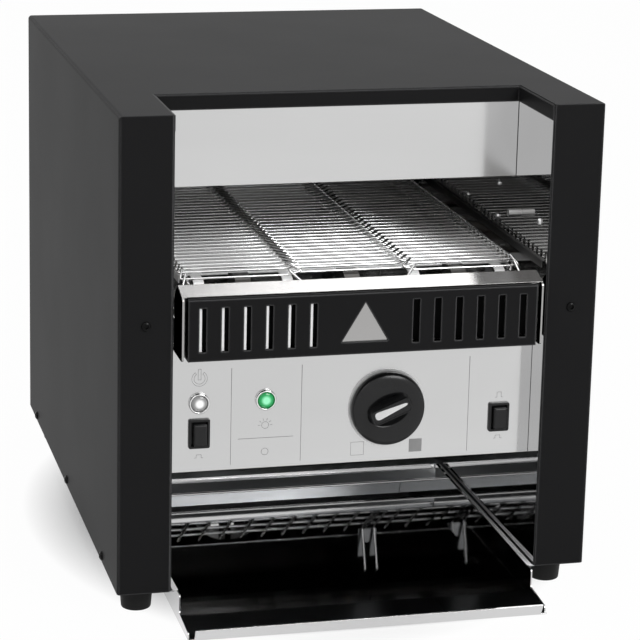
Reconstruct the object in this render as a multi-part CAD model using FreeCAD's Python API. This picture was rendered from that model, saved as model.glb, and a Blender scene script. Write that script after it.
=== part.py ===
"""Conveyor toaster: a powder-coated sheet casing round a ladder wire belt that carries bread under the
hood, drops it down a rear chute and slides it forward on to a tray under the control box.

Working frame: X right from the middle, Y back from the front face of the pillars, Z up from the lower edge
of the casing. Each piece is moved at export, so that the origin is the middle of the whole footprint on the
surface that the feet stand on. All lengths are millimetres, all angles degrees.
"""
import FreeCAD, Part
import math
import os

V = FreeCAD.Vector

# Casing
CASE_W = 368.0
CASE_D = 470.0
CASE_H = 364.5
CASE_T = 1.2
CASE_BEND = 3.0
PILLAR_W = 39.8
MOUTH_W = CASE_W - 2 * PILLAR_W
RECESS_D = 80.0
BROW_DROP = 14.5
CASE_FOOT_FLANGE = 14.0
FIT = 0.3
CUT = 2.0

# Inner walls
WALL_T = 1.0
WALL_GAP_W = MOUTH_W - 2 * WALL_T
WALL_FLANGE = 28.0
WALL_BACK_GAP = 15.0
WALL_BACK = CASE_D - WALL_BACK_GAP

# Base frame and feet
BASE_T = 1.2
BASE_SET_BACK = 3.0
LEDGE_REACH = 2.9
FOOT_H = 22.0
FOOT_R_TOP = 13.0
FOOT_R_LOW = 11.5
FOOT_INSET_X = 20.0
FOOT_FRONT_Y = 32.0
FOOT_REAR_Y = CASE_D - FOOT_FRONT_Y
FOOT_CHAMFER = 1.5

# Rear panel
REAR_T = 1.2
REAR_FLANGE = 12.0
VENT_SLOT_W = 38.0
VENT_SLOT_H = 4.0
VENT_PITCH_Z = 10.0
VENT_ROWS = 5
VENT_COLUMNS = 4
VENT_GAP_X = 14.0
VENT_LOW_Z = CASE_H * 0.7078

# Hood panel
HOOD_T = 1.0
HOOD_LOW_Z = CASE_H * 0.8038
HOOD_LIP = 16.0

# Wire belt
PITCH = 10.0
TEETH = 12
BELT_REAR_GAP = 130.0
SPAN_PITCHES = int((CASE_D - BELT_REAR_GAP) / PITCH)
WIRE = 1.6
LINK_LIFT = 3.2
LINK_UNDER = 2.8
LINK_DROP = 1.2
LINK_OVERHOOK = 2.8
BELT_SIDE_GAP = 10.2
BELT_W = WALL_GAP_W - 2 * BELT_SIDE_GAP
ZIG_REACH = 5.0
EDGE_REACH = 4.0
HOOK_REACH = 3.0
BELT_TOP_Z = CASE_H * 0.6475
IDLER_Y = 42.4

# Shafts, sprockets, rollers and bushes
DRIVE_R = 6.0
IDLER_R = 5.0
SPROCKET_TIP = 2.7
SPROCKET_ROOT = 1.5
SPROCKET_NOTCH = 3.0
SPROCKET_NOTCH_TOP = 8.0
SPROCKET_T = 5.0
SPROCKET_HUB_R = 10.0
SPROCKET_HUB_L = 12.0
SPROCKET_X = tuple(BELT_W * share for share in (-0.391, -0.233, 0.233, 0.391))
ROLLER_X = tuple(BELT_W * share for share in (-0.316, 0, 0.316))
ROLLER_L = 12.0
ROLLER_CLEAR = 0.9
BUSH_R = 9.0
BUSH_FLANGE_R = 12.0
BUSH_FLANGE_T = 2.0
BUSH_TAIL = 4.0
RUN_FIT = 0.05
PRESS_FIT = 0.02
SHAFT_TAIL = 6.0
COLLAR_R = 9.0
COLLAR_L = 5.0

# Gearmotor
GEARBOX_D = 46.0
GEARBOX_H = 58.0
GEARBOX_W = 26.0
GEARBOX_STAND = 6.5
GEARBOX_POST_R = 4.0
GEARBOX_POST_INSET = 7.0
GEARBOX_CORNER = 5.0
MOTOR_R = 15.5
MOTOR_L = 55.0
MOTOR_CAP_R = 8.0
MOTOR_CAP_L = 6.0

# Bed plate
BED_T = 1.0
BED_DROP = 4.0
BED_INSET = 3.0
BED_Z = BELT_TOP_Z - BED_DROP
BED_HALF_W = BELT_W / 2 - BED_INSET
BED_FRONT_Y = 50.0
BED_BACK_GAP = 112.0
BED_BACK_Y = CASE_D - BED_BACK_GAP
BED_FLANGE = 6.0
BED_TAB_L = 22.0
TONGUE_W = 8.0
TONGUE_X = tuple(BED_HALF_W * share for share in (-0.904, -0.381, 0.381, 0.904))
TONGUE_TURN = 70.0
TONGUE_STEPS = 7
BED_BAR_W = 12.0
BED_WINDOW_Y0 = CASE_D * 0.3936
BED_WINDOW_Y1 = BED_BACK_Y - BED_BAR_W
BED_NOTCH = 4.0

# Heaters
HEATER_R = 5.0
HEATER_TAIL = 12.0
UPPER_HEATER_RISE = 11.0
UPPER_HEATER_Z = HOOD_LOW_Z + UPPER_HEATER_RISE
UPPER_HEATER_Y = tuple(CASE_D * share for share in (0.2872, 0.4362, 0.5851, 0.7234))
LOWER_HEATER_DROP = 16.5
LOWER_HEATER_Z = BELT_TOP_Z - LOWER_HEATER_DROP
LOWER_HEATER_Y = tuple(CASE_D * share for share in (0.4511, 0.5617, 0.6723))
HOLDER_SIDE = 16.0
HOLDER_IN = 3.0
HOLDER_OUT = 7.0
HEATER_PIN_R = 1.6
HEATER_PIN_L = 8.0
REFLECTOR_T = 0.8
UPPER_REFLECTOR_RISE = 24.0
UPPER_REFLECTOR_DROP = 4.0
UPPER_REFLECTOR_Z = UPPER_HEATER_Z + UPPER_REFLECTOR_RISE
UPPER_REFLECTOR_EDGE_Z = UPPER_HEATER_Z - UPPER_REFLECTOR_DROP
UPPER_REFLECTOR_Y0 = 98.0
UPPER_REFLECTOR_Y1 = CASE_D * 0.834
UPPER_REFLECTOR_SLOPE = 14.0
LOWER_REFLECTOR_DROP = 12.5
LOWER_REFLECTOR_Z = LOWER_HEATER_Z - LOWER_REFLECTOR_DROP
LOWER_REFLECTOR_Y0 = 78.0
LOWER_REFLECTOR_Y1 = CASE_D * 0.7489

# Front guard
GUARD_SIDE_GAP = 4.9
GUARD_W = WALL_GAP_W - 2 * GUARD_SIDE_GAP
GUARD_FRONT_Y = -8.0
GUARD_LOW_DROP = 54.6
GUARD_HIGH_DROP = 7.0
GUARD_LIP_DROP = 2.0
GUARD_LOW_Z = BELT_TOP_Z - GUARD_LOW_DROP
GUARD_HIGH_Z = BELT_TOP_Z - GUARD_HIGH_DROP
GUARD_T = 1.2
GUARD_COVER_INSET = 4.6
GUARD_LINER_BACK = 6.0
GUARD_BACK_Y = 40.0
GUARD_LIP_Y = 10.0
GUARD_LIP_Z = BELT_TOP_Z - GUARD_LIP_DROP
GUARD_LIP_ROLL = 1.6
CHEEK_BACK_Y = 22.0
CHEEK_CORNER = 9.0
GUARD_BOTTOM_BACK_Y = 36.0
SLOT_W = 5.2
SLOT_RISE = 6.9
SLOT_LOW_Z = GUARD_LOW_Z + SLOT_RISE
SLOT_H = (GUARD_HIGH_Z - GUARD_LOW_Z) * 0.7017
SLOT_PITCH = GUARD_W * 0.0604
SLOT_COUNT = 6
SLOT_FIRST_X = GUARD_W * 0.4443
WINDOW_W = GUARD_W * 0.1302
WINDOW_RISE = 9.3
WINDOW_LOW_Z = GUARD_LOW_Z + WINDOW_RISE
WINDOW_H = (GUARD_HIGH_Z - GUARD_LOW_Z) * 0.6366

# Control panel and box
PANEL_Y = 24.8
PANEL_T = 1.2
PANEL_LOW_Z = CASE_H * 0.234
PANEL_HEM = 8.0
PANEL_SIDE_GAP = 0.2
PANEL_W = WALL_GAP_W - 2 * PANEL_SIDE_GAP
PANEL_H = GUARD_LOW_Z - PANEL_LOW_Z
BOX_BACK_Y = CASE_D * 0.5319
BOX_T = 1.0
BOX_SLOPE_Y = 60.0

# Lamps
LAMP_Z = PANEL_LOW_Z + PANEL_H * 0.561
WHITE_LAMP_X = -PANEL_W * 0.4133
GREEN_LAMP_X = -PANEL_W * 0.2343
LAMP_R = 8.2
LAMP_RIM = 1.3
LAMP_STAND = 3.0
LAMP_STEM_R = 5.4
LAMP_STEM_L = 26.0
LENS_DOME = 2.2

# Push buttons
BUTTON_X = PANEL_W * 0.4126
BUTTON_Z = PANEL_LOW_Z + PANEL_H * 0.3122
BUTTON_W = 16.4
BUTTON_H = 23.0
BUTTON_STAND = 2.2
BUTTON_WALL = 2.0
CAP_STAND = 6.5
CAP_EDGE = 1.0
CAP_TAIL = 14.0
BUTTON_BODY_L = 24.0
BUTTON_BODY_INSET = 1.6
BUTTON_TRAVEL = 3.0
BUTTON_CORNER = 1.6

# Knob
KNOB_X = PANEL_W * 0.0979
KNOB_Z = PANEL_LOW_Z + PANEL_H * 0.4443
KNOB_R = 29.0
KNOB_SKIRT = 4.0
KNOB_DOME = 9.0
KNOB_CROWN_R = 19.0
KNOB_GAP = 0.8
BOWL_R = 17.3
BOWL_DEPTH = 4.6
GRIP_L = 36.0
GRIP_W = 13.0
GRIP_STAND = 19.0
GRIP_TAPER = 2.5
GRIP_CORNER = 2.0
POINTER_ANGLE = 22.0
POINTER_L = 27.0
POINTER_W = 6.0
POINTER_NOSE = 1.6
POINTER_T = 0.8
SPINDLE_R = 3.0
SPINDLE_DEPTH = 12.0
KNOB_RING_R = 30.4
KNOB_RING_T = 0.6
REGULATOR_W = 42.0
REGULATOR_H = 46.0
REGULATOR_L = 34.0
REGULATOR_NECK_R = 5.0

# Rear chute, wire slide and toast stop
CHUTE_T = 1.0
CHUTE_BACK_GAP = 22.0
CHUTE_Y = CASE_D - CHUTE_BACK_GAP
CHUTE_TOP_Z = CASE_H * 0.8834
CHUTE_RUN = 138.0
CHUTE_LIP_Y = CHUTE_Y - CHUTE_RUN
CHUTE_LIP_Z = 47.0
CHUTE_ANGLE = 36.0
CHUTE_BEND = 60.0
SLIDE_WIRE_R = 1.3
SLIDE_PITCH = WALL_GAP_W * 0.06634
SLIDE_WIRES = 15
SLIDE_WELD = 0.3
SLIDE_LEAD = 50.0
SLIDE_LOW_Y = CHUTE_LIP_Y - SLIDE_LEAD
SLIDE_LOW_Z = 5.4
SLIDE_RUN = 59.0
SLIDE_CROSS_SHARES = (0.2, 0.52, 0.84)
STOP_X = WALL_GAP_W * 0.335
STOP_REACH = 46.0
STOP_GAP = 11.0
STOP_TOP_Z = 71.0
STOP_AHEAD = 14.0
BRACKET_W = 17.0
BRACKET_H = 26.0
BRACKET_T = 1.5

# Toast tray
TRAY_T = 1.0
TRAY_SIDE_GAP = 4.3
TRAY_HALF_W = WALL_GAP_W / 2 - TRAY_SIDE_GAP
TRAY_FRONT_Y = -50.0
TRAY_SLIDE_GAP = 20.0
TRAY_BACK_Y = SLIDE_LOW_Y - TRAY_SLIDE_GAP
TRAY_FLOOR_GAP = 1.0
TRAY_FLANGE = 3.2
TRAY_STEP_Y = -10.0
TRAY_STEP_Z = -13.0
TRAY_NOSE_Y = -43.0
TRAY_NOSE_Z = -15.5
TRAY_LIP_H = 9.5
TRAY_LIP_LEAN = 5.0
TRAY_LIP_INSET = 4.5
TRAY_BAR_H = 10.0
TRAY_BAR_RUN = 7.0
TRAY_BAR_FLANGE = 3.0

BRIDGE_GAP = 6.0
BASE_BRIDGE_Y = TRAY_BACK_Y + BRIDGE_GAP

# Fan
FAN_SIDE = 80.0
FAN_L = 25.0
FAN_DUCT_R = 37.5
FAN_HUB_R = 17.0
FAN_BLADES = 7
FAN_BLADE_T = 1.2
FAN_BLADE_PITCH = 38.0
FAN_TIP_GAP = 1.2
FAN_Z = 58.0
FAN_STRUT_W = 5.0
FAN_STRUT_L = 3.0
FAN_CORNER = 4.0
GRILLE_BAR = 3.5
GRILLE_SLOTS = 9

# Cord gland
GLAND_X = -CASE_W * 0.3533
GLAND_Z = 40.0
GLAND_FLAT_R = 11.5
GLAND_FLAT_L = 5.0
GLAND_DOME_R = 9.5
GLAND_DOME_L = 9.0
GLAND_THREAD_R = 8.0
GLAND_TAIL = 12.0
GLAND_BORE_R = 4.2

# Electrical pieces
TERMINAL_W = 24.0
TERMINAL_D = 62.0
TERMINAL_H = 20.0
TERMINAL_Y = CASE_D * 0.7021
TERMINAL_WAYS = 5
TERMINAL_BARRIER = 2.0
BOARD_W = 110.0
BOARD_D = 70.0
BOARD_T = 1.6
BOARD_POST = 6.0
BOARD_X = PANEL_W * 0.2168
BOARD_Y = 132.0
RELAY_W = 16.0
RELAY_D = 20.0
RELAY_H = 16.0
RELAY_GAP = 8.0
RELAYS = 3

# Fasteners and feed sensors
SCREW_R = 3.6
SCREW_STAND = 2.0
SCREW_SHANK_R = 1.9
SCREW_RECESS_R = 1.5
SCREW_RECESS = 1.1
SIDE_SCREW_Y = tuple(CASE_D * share for share in (0.1489, 0.5255, 0.9))
SIDE_SCREW_Z = 5.0
PILLAR_SCREW_INSET = 20.4
PILLAR_SCREW_X = CASE_W / 2 - PILLAR_SCREW_INSET
PILLAR_SCREW_Z = CASE_H * 0.5706
REAR_SCREW_INSET = 9.0
WALL_SCREW_R = 3.0
WALL_SCREW_STAND = 1.6
WALL_SCREW_Y = (118.0, 118.0, 21.0, 195.0)
WALL_SCREW_Z = tuple(CASE_H * share for share in (0.7654, 0.6914, 0.74, 0.6914))
SENSOR_Y = 64.0
SENSOR_Z = CASE_H * 0.7325
SENSOR_R = 3.0
SENSOR_REACH = 10.5
SENSOR_TAIL = 9.0
SENSOR_NUT_R = 5.0
SENSOR_NUT_L = 2.5

# Sizes that follow
QUARTER = 90.0
ROUND_OFF = 1e-6
WALL_IN = WALL_GAP_W / 2
WALL_OUT = WALL_IN + WALL_T
MOUTH = MOUTH_W / 2
PITCH_R = PITCH / (2 * math.sin(math.pi / TEETH))
IDLER_Z = BELT_TOP_Z - PITCH_R
DRIVE_Y = IDLER_Y + SPAN_PITCHES * PITCH
DRIVE_Z = IDLER_Z
PANEL_TOP_Z = GUARD_LOW_Z - FIT / 2
HOOD_TOP_Z = CASE_H - BROW_DROP
TRAY_FLOOR_Z = TRAY_FLOOR_GAP - FOOT_H
REAR_Y = CASE_D
REAR_REACH = GLAND_FLAT_L + GLAND_DOME_L
SHIFT = V(0, -(TRAY_FRONT_Y + REAR_Y + REAR_REACH) / 2, FOOT_H)


def box(x0, x1, y0, y1, z0, z1):
    """A block between two corners."""
    return Part.makeBox(x1 - x0, y1 - y0, z1 - z0, V(x0, y0, z0))


def rod(start, direction, radius, length):
    """A round bar from a point along a direction."""
    return Part.makeCylinder(radius, length, start, direction)


def face(points):
    """A flat face inside a closed outline of points."""
    return Part.Face(Part.makePolygon(list(points) + [points[0]]))


def across(outline, x0, x1):
    """An outline of (y, z) pairs drawn out along X."""
    return face([V(x0, y, z) for y, z in outline]).extrude(V(x1 - x0, 0, 0))


def ribbon(line, thickness):
    """The outline of a folded sheet: the (a, b) line and its copy to the left at the sheet's thickness."""
    left = []
    last = len(line) - 1
    for i, (a, b) in enumerate(line):
        before = line[max(i - 1, 0)]
        after = line[min(i + 1, last)]
        if i == 0:
            before = (2 * a - after[0], 2 * b - after[1])
        if i == last:
            after = (2 * a - before[0], 2 * b - before[1])
        one = math.atan2(b - before[1], a - before[0])
        two = math.atan2(after[1] - b, after[0] - a)
        turn = math.remainder(two - one, 2 * math.pi)
        normal = one + turn / 2 + math.pi / 2
        reach = thickness / math.cos(turn / 2)
        left.append((a + reach * math.cos(normal), b + reach * math.sin(normal)))
    return list(line) + left[::-1]


def folded(line, thickness, x0, x1):
    """A folded sheet whose (y, z) section runs along X."""
    return across(ribbon(line, thickness), x0, x1)


def arc_points(centre, radius, start, stop, steps):
    """Points on an arc in (y, z), start and stop in degrees from the Y axis."""
    found = []
    for i in range(steps + 1):
        angle = math.radians(start + (stop - start) * i / steps)
        found.append((centre[0] + radius * math.cos(angle), centre[1] + radius * math.sin(angle)))
    return found


def mirror_x(shape):
    """The same shape on the other side of the middle."""
    return shape.mirror(V(0, 0, 0), V(1, 0, 0))


def both(shape):
    """A shape and its mirror image as separate solids."""
    return [shape, mirror_x(shape)]


def joined(shapes):
    """One solid from shapes that meet."""
    first = shapes[0]
    if len(shapes) > 1:
        first = first.fuse(shapes[1:])
    return first.removeSplitter()


def edges_along(shape, direction, test):
    """The straight edges of a shape that run along a direction and pass a test on their middle."""
    found = []
    for edge in shape.Edges:
        if edge.Curve.TypeId != "Part::GeomLine":
            continue
        way = edge.Curve.Direction
        middle = edge.CenterOfMass
        if abs(abs(way.dot(direction)) - 1) < ROUND_OFF and test(middle):
            found.append(edge)
    return found


def outer_casing():
    """Folded wrap: two sides, top, front pillars, the recess with its brow and the foot flanges."""
    half = CASE_W / 2
    block = box(-half, half, 0, CASE_D, 0, CASE_H)
    rounded = edges_along(block, V(0, 1, 0), lambda m: m.z > CASE_H / 2)
    rounded += edges_along(block, V(0, 0, 1), lambda m: m.y < CASE_D / 2)
    block = block.makeFillet(CASE_BEND, rounded)
    inside = half - CASE_T
    shell = block.cut(box(-inside, inside, CASE_T, CASE_D + CUT, -CUT, CASE_H - CASE_T))
    shell = shell.cut(box(-MOUTH, MOUTH, -CUT, CASE_T + CUT, -CUT, CASE_H + CUT))
    shell = shell.cut(box(-MOUTH, MOUTH, -CUT, RECESS_D, CASE_H - CASE_T - CUT, CASE_H + CUT))
    brow_half = WALL_IN - FIT
    brow = box(-brow_half, brow_half, RECESS_D, RECESS_D + CASE_T, HOOD_TOP_Z, CASE_H)
    flange = box(inside - CASE_FOOT_FLANGE, inside, BASE_SET_BACK, CASE_D - REAR_FLANGE - REAR_T, 0, CASE_T)
    shell = joined([shell, brow] + both(flange))
    for x, y, z in screw_places("side") + screw_places("pillar"):
        way = V(0, 1, 0) if y == 0 else V(1, 0, 0)
        start = V(x, y, z) - way * (CASE_T + CUT)
        shell = shell.cut(rod(start, way, SCREW_SHANK_R + RUN_FIT, CASE_T * 2 + CUT * 2))
    return [shell]


def screw_places(group):
    """Where the screw heads of a group seat, as (x, y, z) on the outer surface."""
    half = CASE_W / 2
    if group == "side":
        return [(side * half, y, SIDE_SCREW_Z) for side in (-1, 1) for y in SIDE_SCREW_Y]
    if group == "pillar":
        return [(side * PILLAR_SCREW_X, 0, PILLAR_SCREW_Z) for side in (-1, 1)]
    inset = CASE_T + FIT + REAR_SCREW_INSET
    places = []
    for z in (CASE_H - inset, CASE_H / 2, inset):
        places += [(side * (half - inset), REAR_Y, z) for side in (-1, 1)]
    return places


def inner_wall():
    """Right inner wall with its front flange and the holes for shafts, heaters, sensor and screws."""
    top = CASE_H - CASE_T - FIT
    wall = box(WALL_IN, WALL_OUT, CASE_T + RUN_FIT, WALL_BACK, 0, top)
    flange = box(WALL_IN, WALL_IN + WALL_FLANGE, CASE_T + RUN_FIT, CASE_T + RUN_FIT + WALL_T, 0, top)
    wall = joined([wall, flange])
    across_x = V(1, 0, 0)
    start_x = WALL_IN - CUT
    length = WALL_T + 2 * CUT
    holes = [(IDLER_Y, IDLER_Z, BUSH_R + PRESS_FIT), (DRIVE_Y, DRIVE_Z, BUSH_R + PRESS_FIT)]
    holes += [(SENSOR_Y, SENSOR_Z, SENSOR_R + PRESS_FIT)]
    holes += [(y, z, SCREW_SHANK_R + RUN_FIT) for y, z in zip(WALL_SCREW_Y, WALL_SCREW_Z)]
    for y, z, radius in holes:
        wall = wall.cut(rod(V(start_x, y, z), across_x, radius, length))
    side = HOLDER_SIDE / 2 + PRESS_FIT
    for y, z in heater_places():
        wall = wall.cut(box(start_x, start_x + length, y - side, y + side, z - side, z + side))
    for y, z in slide_crosses():
        wall = wall.cut(rod(V(start_x, y, z), across_x, SLIDE_WIRE_R + RUN_FIT, length))
    pillar = V(PILLAR_SCREW_X, 0, PILLAR_SCREW_Z)
    return wall.cut(rod(pillar, V(0, 1, 0), SCREW_SHANK_R + RUN_FIT, CASE_T + WALL_T + CUT))


def heater_places():
    """The heater axes, as (y, z)."""
    upper = [(y, UPPER_HEATER_Z) for y in UPPER_HEATER_Y]
    return upper + [(y, LOWER_HEATER_Z) for y in LOWER_HEATER_Y]


def base_frame():
    """Floor strips beside the tray, whose inner ledges carry it, and the bridge under the rear."""
    outer = CASE_W / 2 - CASE_T - FIT
    ledge = WALL_IN - LEDGE_REACH
    back = CASE_D - REAR_T - FIT
    strip = box(ledge, outer, BASE_SET_BACK, back, -BASE_T, 0)
    bridge = box(-ledge, ledge, BASE_BRIDGE_Y, back, -BASE_T, 0)
    lip = box(-ledge, ledge, BASE_BRIDGE_Y, BASE_BRIDGE_Y + BASE_T, -BASE_T * 4, -BASE_T)
    frame = joined([bridge, lip] + both(strip))
    for x, y in foot_places():
        frame = frame.cut(rod(V(x, y, -BASE_T - CUT), V(0, 0, 1), SCREW_SHANK_R, BASE_T + 2 * CUT))
    return [frame]


def foot_places():
    """The feet's centres, as (x, y)."""
    x = CASE_W / 2 - FOOT_INSET_X
    return [(-x, FOOT_FRONT_Y), (x, FOOT_FRONT_Y), (-x, FOOT_REAR_Y), (x, FOOT_REAR_Y)]


def foot(x, y):
    """A tapered rubber foot with a chamfered tread and a screw well."""
    height = FOOT_H - BASE_T
    body = Part.makeCone(FOOT_R_LOW, FOOT_R_TOP, height, V(x, y, -FOOT_H))
    tread = [e for e in body.Edges if e.CenterOfMass.z < -FOOT_H + CUT / 2 and len(e.Vertexes) == 1]
    body = body.makeChamfer(FOOT_CHAMFER, [e for e in tread if e.Curve.TypeId == "Part::GeomCircle"])
    return body.cut(rod(V(x, y, -FOOT_H - CUT), V(0, 0, 1), SCREW_R, CUT + height / 3))


def rear_panel():
    """Rear sheet with its edge flanges, the vent slots and the fan's slotted opening."""
    half = CASE_W / 2 - CASE_T - FIT
    top = CASE_H - CASE_T - FIT
    front = REAR_Y - REAR_T
    panel = box(-half, half, front, REAR_Y, 0, top)
    side = box(half - REAR_T, half, front - REAR_FLANGE, front, CASE_T + FIT, top)
    lid = box(-half, half, front - REAR_FLANGE, front, top - REAR_T, top)
    panel = joined([panel, lid] + both(side))
    span = VENT_COLUMNS * VENT_SLOT_W + (VENT_COLUMNS - 1) * VENT_GAP_X
    for column in range(VENT_COLUMNS):
        x = -span / 2 + column * (VENT_SLOT_W + VENT_GAP_X)
        for row in range(VENT_ROWS):
            z = VENT_LOW_Z + row * VENT_PITCH_Z
            panel = panel.cut(box(x, x + VENT_SLOT_W, front - CUT, REAR_Y + CUT, z, z + VENT_SLOT_H))
    duct = FAN_DUCT_R
    step = 2 * duct / GRILLE_SLOTS
    for slot in range(GRILLE_SLOTS):
        low = -duct + slot * step + GRILLE_BAR / 2
        high = low + step - GRILLE_BAR
        reach = math.sqrt(max(duct ** 2 - max(abs(low), abs(high)) ** 2, 0))
        panel = panel.cut(box(-reach, reach, front - CUT, REAR_Y + CUT, FAN_Z + low, FAN_Z + high))
    for x, y, z in screw_places("rear"):
        panel = panel.cut(rod(V(x, front - CUT, z), V(0, 1, 0), SCREW_SHANK_R + RUN_FIT, REAR_T + 2 * CUT))
    hole = rod(V(GLAND_X, front - CUT, GLAND_Z), V(0, 1, 0), GLAND_THREAD_R + PRESS_FIT, REAR_T + 2 * CUT)
    return [panel.cut(hole)]


def hood_panel():
    """Stainless front of the hood, its lip turned back over the feed mouth."""
    half = WALL_IN - FIT
    y = RECESS_D - HOOD_T
    line = [(y, HOOD_TOP_Z + BROW_DROP / 2), (y, HOOD_LOW_Z), (y + HOOD_LIP, HOOD_LOW_Z)]
    return [folded(line, HOOD_T, -half, half)]


def link_path():
    """Half of one belt strand from the middle outwards: across, along the belt and outwards from it."""
    zig = BELT_W / 6
    ahead = PITCH + LINK_OVERHOOK
    edge = BELT_W / 2 - WIRE / 2
    return [
        (zig - ZIG_REACH, ahead, -LINK_DROP),
        (zig + ZIG_REACH, ahead, LINK_LIFT),
        (zig - ZIG_REACH, 0, LINK_LIFT),
        (zig + ZIG_REACH, 0, 0),
        (edge, 0, 0),
        (edge - EDGE_REACH, ahead, LINK_LIFT),
        (edge - EDGE_REACH, ahead, -LINK_UNDER),
        (edge - EDGE_REACH - HOOK_REACH, PITCH - HOOK_REACH, -LINK_UNDER),
    ]


def square_wire(points, side):
    """A square wire along a path of points, mitred at each bend."""
    ways = [(b - a).normalize() for a, b in zip(points, points[1:])]
    up = V(0, 0, 1)
    first = ways[0].cross(up).normalize()
    second = first.cross(ways[0])
    corners = [first * i + second * j for i, j in ((1, 1), (-1, 1), (-1, -1), (1, -1))]
    ring = [points[0] + corner * (side / 2) for corner in corners]
    rings = [ring]
    for i, way in enumerate(ways):
        plane = way if i == len(ways) - 1 else way + ways[i + 1]
        target = points[i + 1]
        ring = [p + way * ((target - p).dot(plane) / way.dot(plane)) for p in ring]
        rings.append(ring)
    faces = [face(rings[0]), face(rings[-1])]
    for a, b in zip(rings, rings[1:]):
        for k in range(len(a)):
            n = (k + 1) % len(a)
            faces.append(face([a[k], a[n], b[n], b[k]]))
    return Part.Solid(Part.Shell(faces))


def belt_strand():
    """One strand of the belt in its own frame: X across, Y along the run, Z outwards."""
    half = [V(x, s, n) for x, s, n in link_path()]
    other = [V(-p.x, p.y, p.z) for p in half]
    solid = square_wire(other[::-1] + half, WIRE)
    if solid.Volume < 0:
        solid.reverse()
    return solid


def belt_hinges():
    """The closed loop of hinge points in (y, z): top run, rear turn, lower run, front turn."""
    step = 360 / TEETH
    points = []
    for i in range(SPAN_PITCHES):
        points.append((IDLER_Y + i * PITCH, BELT_TOP_Z))
    for i in range(TEETH // 2):
        angle = math.radians(90 - i * step)
        points.append((DRIVE_Y + PITCH_R * math.cos(angle), DRIVE_Z + PITCH_R * math.sin(angle)))
    for i in range(SPAN_PITCHES):
        points.append((DRIVE_Y - i * PITCH, DRIVE_Z - PITCH_R))
    for i in range(TEETH // 2):
        angle = math.radians(-90 - i * step)
        points.append((IDLER_Y + PITCH_R * math.cos(angle), IDLER_Z + PITCH_R * math.sin(angle)))
    return points


def wire_belt():
    """Every strand of the ladder belt, each hooked over the next one and round both shafts."""
    strand = belt_strand()
    hinges = belt_hinges()
    strands = []
    for i, (y, z) in enumerate(hinges):
        after = hinges[(i + 1) % len(hinges)]
        angle = math.degrees(math.atan2(after[1] - z, after[0] - y))
        turn = FreeCAD.Rotation(V(1, 0, 0), angle)
        placed = strand.copy()
        placed.Placement = FreeCAD.Placement(V(0, y, z), turn)
        strands.append(placed)
    return strands


def shaft(y, z, radius, tail):
    """A cross shaft with a collar outside each wall."""
    end = WALL_OUT + BUSH_TAIL + RUN_FIT
    bar = rod(V(-end - COLLAR_L - SHAFT_TAIL, y, z), V(1, 0, 0), radius, 2 * end + COLLAR_L + SHAFT_TAIL + tail)
    left = rod(V(-end - COLLAR_L, y, z), V(1, 0, 0), COLLAR_R, COLLAR_L)
    return joined([bar, left])


def drive_shaft():
    """Rear shaft, long enough on the right to pass through the gearbox."""
    reach = GEARBOX_STAND + GEARBOX_W - BUSH_TAIL
    return [shaft(DRIVE_Y, DRIVE_Z, DRIVE_R, reach)]


def idler_shaft():
    """Front shaft with a collar outside each bush."""
    end = WALL_OUT + BUSH_TAIL + RUN_FIT
    right = rod(V(end, IDLER_Y, IDLER_Z), V(1, 0, 0), COLLAR_R, COLLAR_L)
    return [joined([shaft(IDLER_Y, IDLER_Z, IDLER_R, COLLAR_L + SHAFT_TAIL), right])]


def sprocket(x):
    """A notched sprocket whose notches cradle the belt strands, with its hub."""
    step = 2 * math.pi / TEETH
    root = PITCH_R - WIRE / 2 - SPROCKET_ROOT / 2
    tip = PITCH_R + SPROCKET_TIP
    root_turn = math.asin(SPROCKET_NOTCH / 2 / root)
    tip_turn = math.asin(SPROCKET_NOTCH_TOP / 2 / tip)
    outline = []
    for tooth in range(TEETH):
        middle = tooth * step
        for turn, radius in ((-tip_turn, tip), (-root_turn, root), (root_turn, root), (tip_turn, tip)):
            angle = middle + turn
            outline.append((DRIVE_Y + radius * math.cos(angle), DRIVE_Z + radius * math.sin(angle)))
    disc = across(outline, x - SPROCKET_T / 2, x + SPROCKET_T / 2)
    hub = rod(V(x - SPROCKET_HUB_L / 2, DRIVE_Y, DRIVE_Z), V(1, 0, 0), SPROCKET_HUB_R, SPROCKET_HUB_L)
    bore = rod(V(x - SPROCKET_HUB_L, DRIVE_Y, DRIVE_Z), V(1, 0, 0), DRIVE_R + PRESS_FIT, 2 * SPROCKET_HUB_L)
    return disc.fuse(hub).cut(bore)


def drive_sprockets():
    """The sprockets in the outer lanes of the belt."""
    return [sprocket(x) for x in SPROCKET_X]


def idler_rollers():
    """Plain rollers that carry the front turn of the belt."""
    radius = PITCH_R * math.cos(math.pi / TEETH) - WIRE / 2 - ROLLER_CLEAR
    rollers = []
    for x in ROLLER_X:
        start = V(x - ROLLER_L / 2, IDLER_Y, IDLER_Z)
        body = rod(start, V(1, 0, 0), radius, ROLLER_L)
        rollers.append(body.cut(rod(start - V(CUT, 0, 0), V(1, 0, 0), IDLER_R + PRESS_FIT, ROLLER_L + 2 * CUT)))
    return rollers


def bush(y, z, bore):
    """A flanged bush pressed into the right wall from the outside."""
    start = V(WALL_IN, y, z)
    body = rod(start, V(1, 0, 0), BUSH_R, WALL_T + BUSH_TAIL)
    rim = rod(start + V(WALL_T, 0, 0), V(1, 0, 0), BUSH_FLANGE_R, BUSH_FLANGE_T)
    hole = rod(start - V(CUT, 0, 0), V(1, 0, 0), bore + RUN_FIT, WALL_T + BUSH_TAIL + 2 * CUT)
    return body.fuse(rim).cut(hole)


def shaft_bushes():
    """The four bushes of the two shafts."""
    return both(bush(DRIVE_Y, DRIVE_Z, DRIVE_R)) + both(bush(IDLER_Y, IDLER_Z, IDLER_R))


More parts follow.
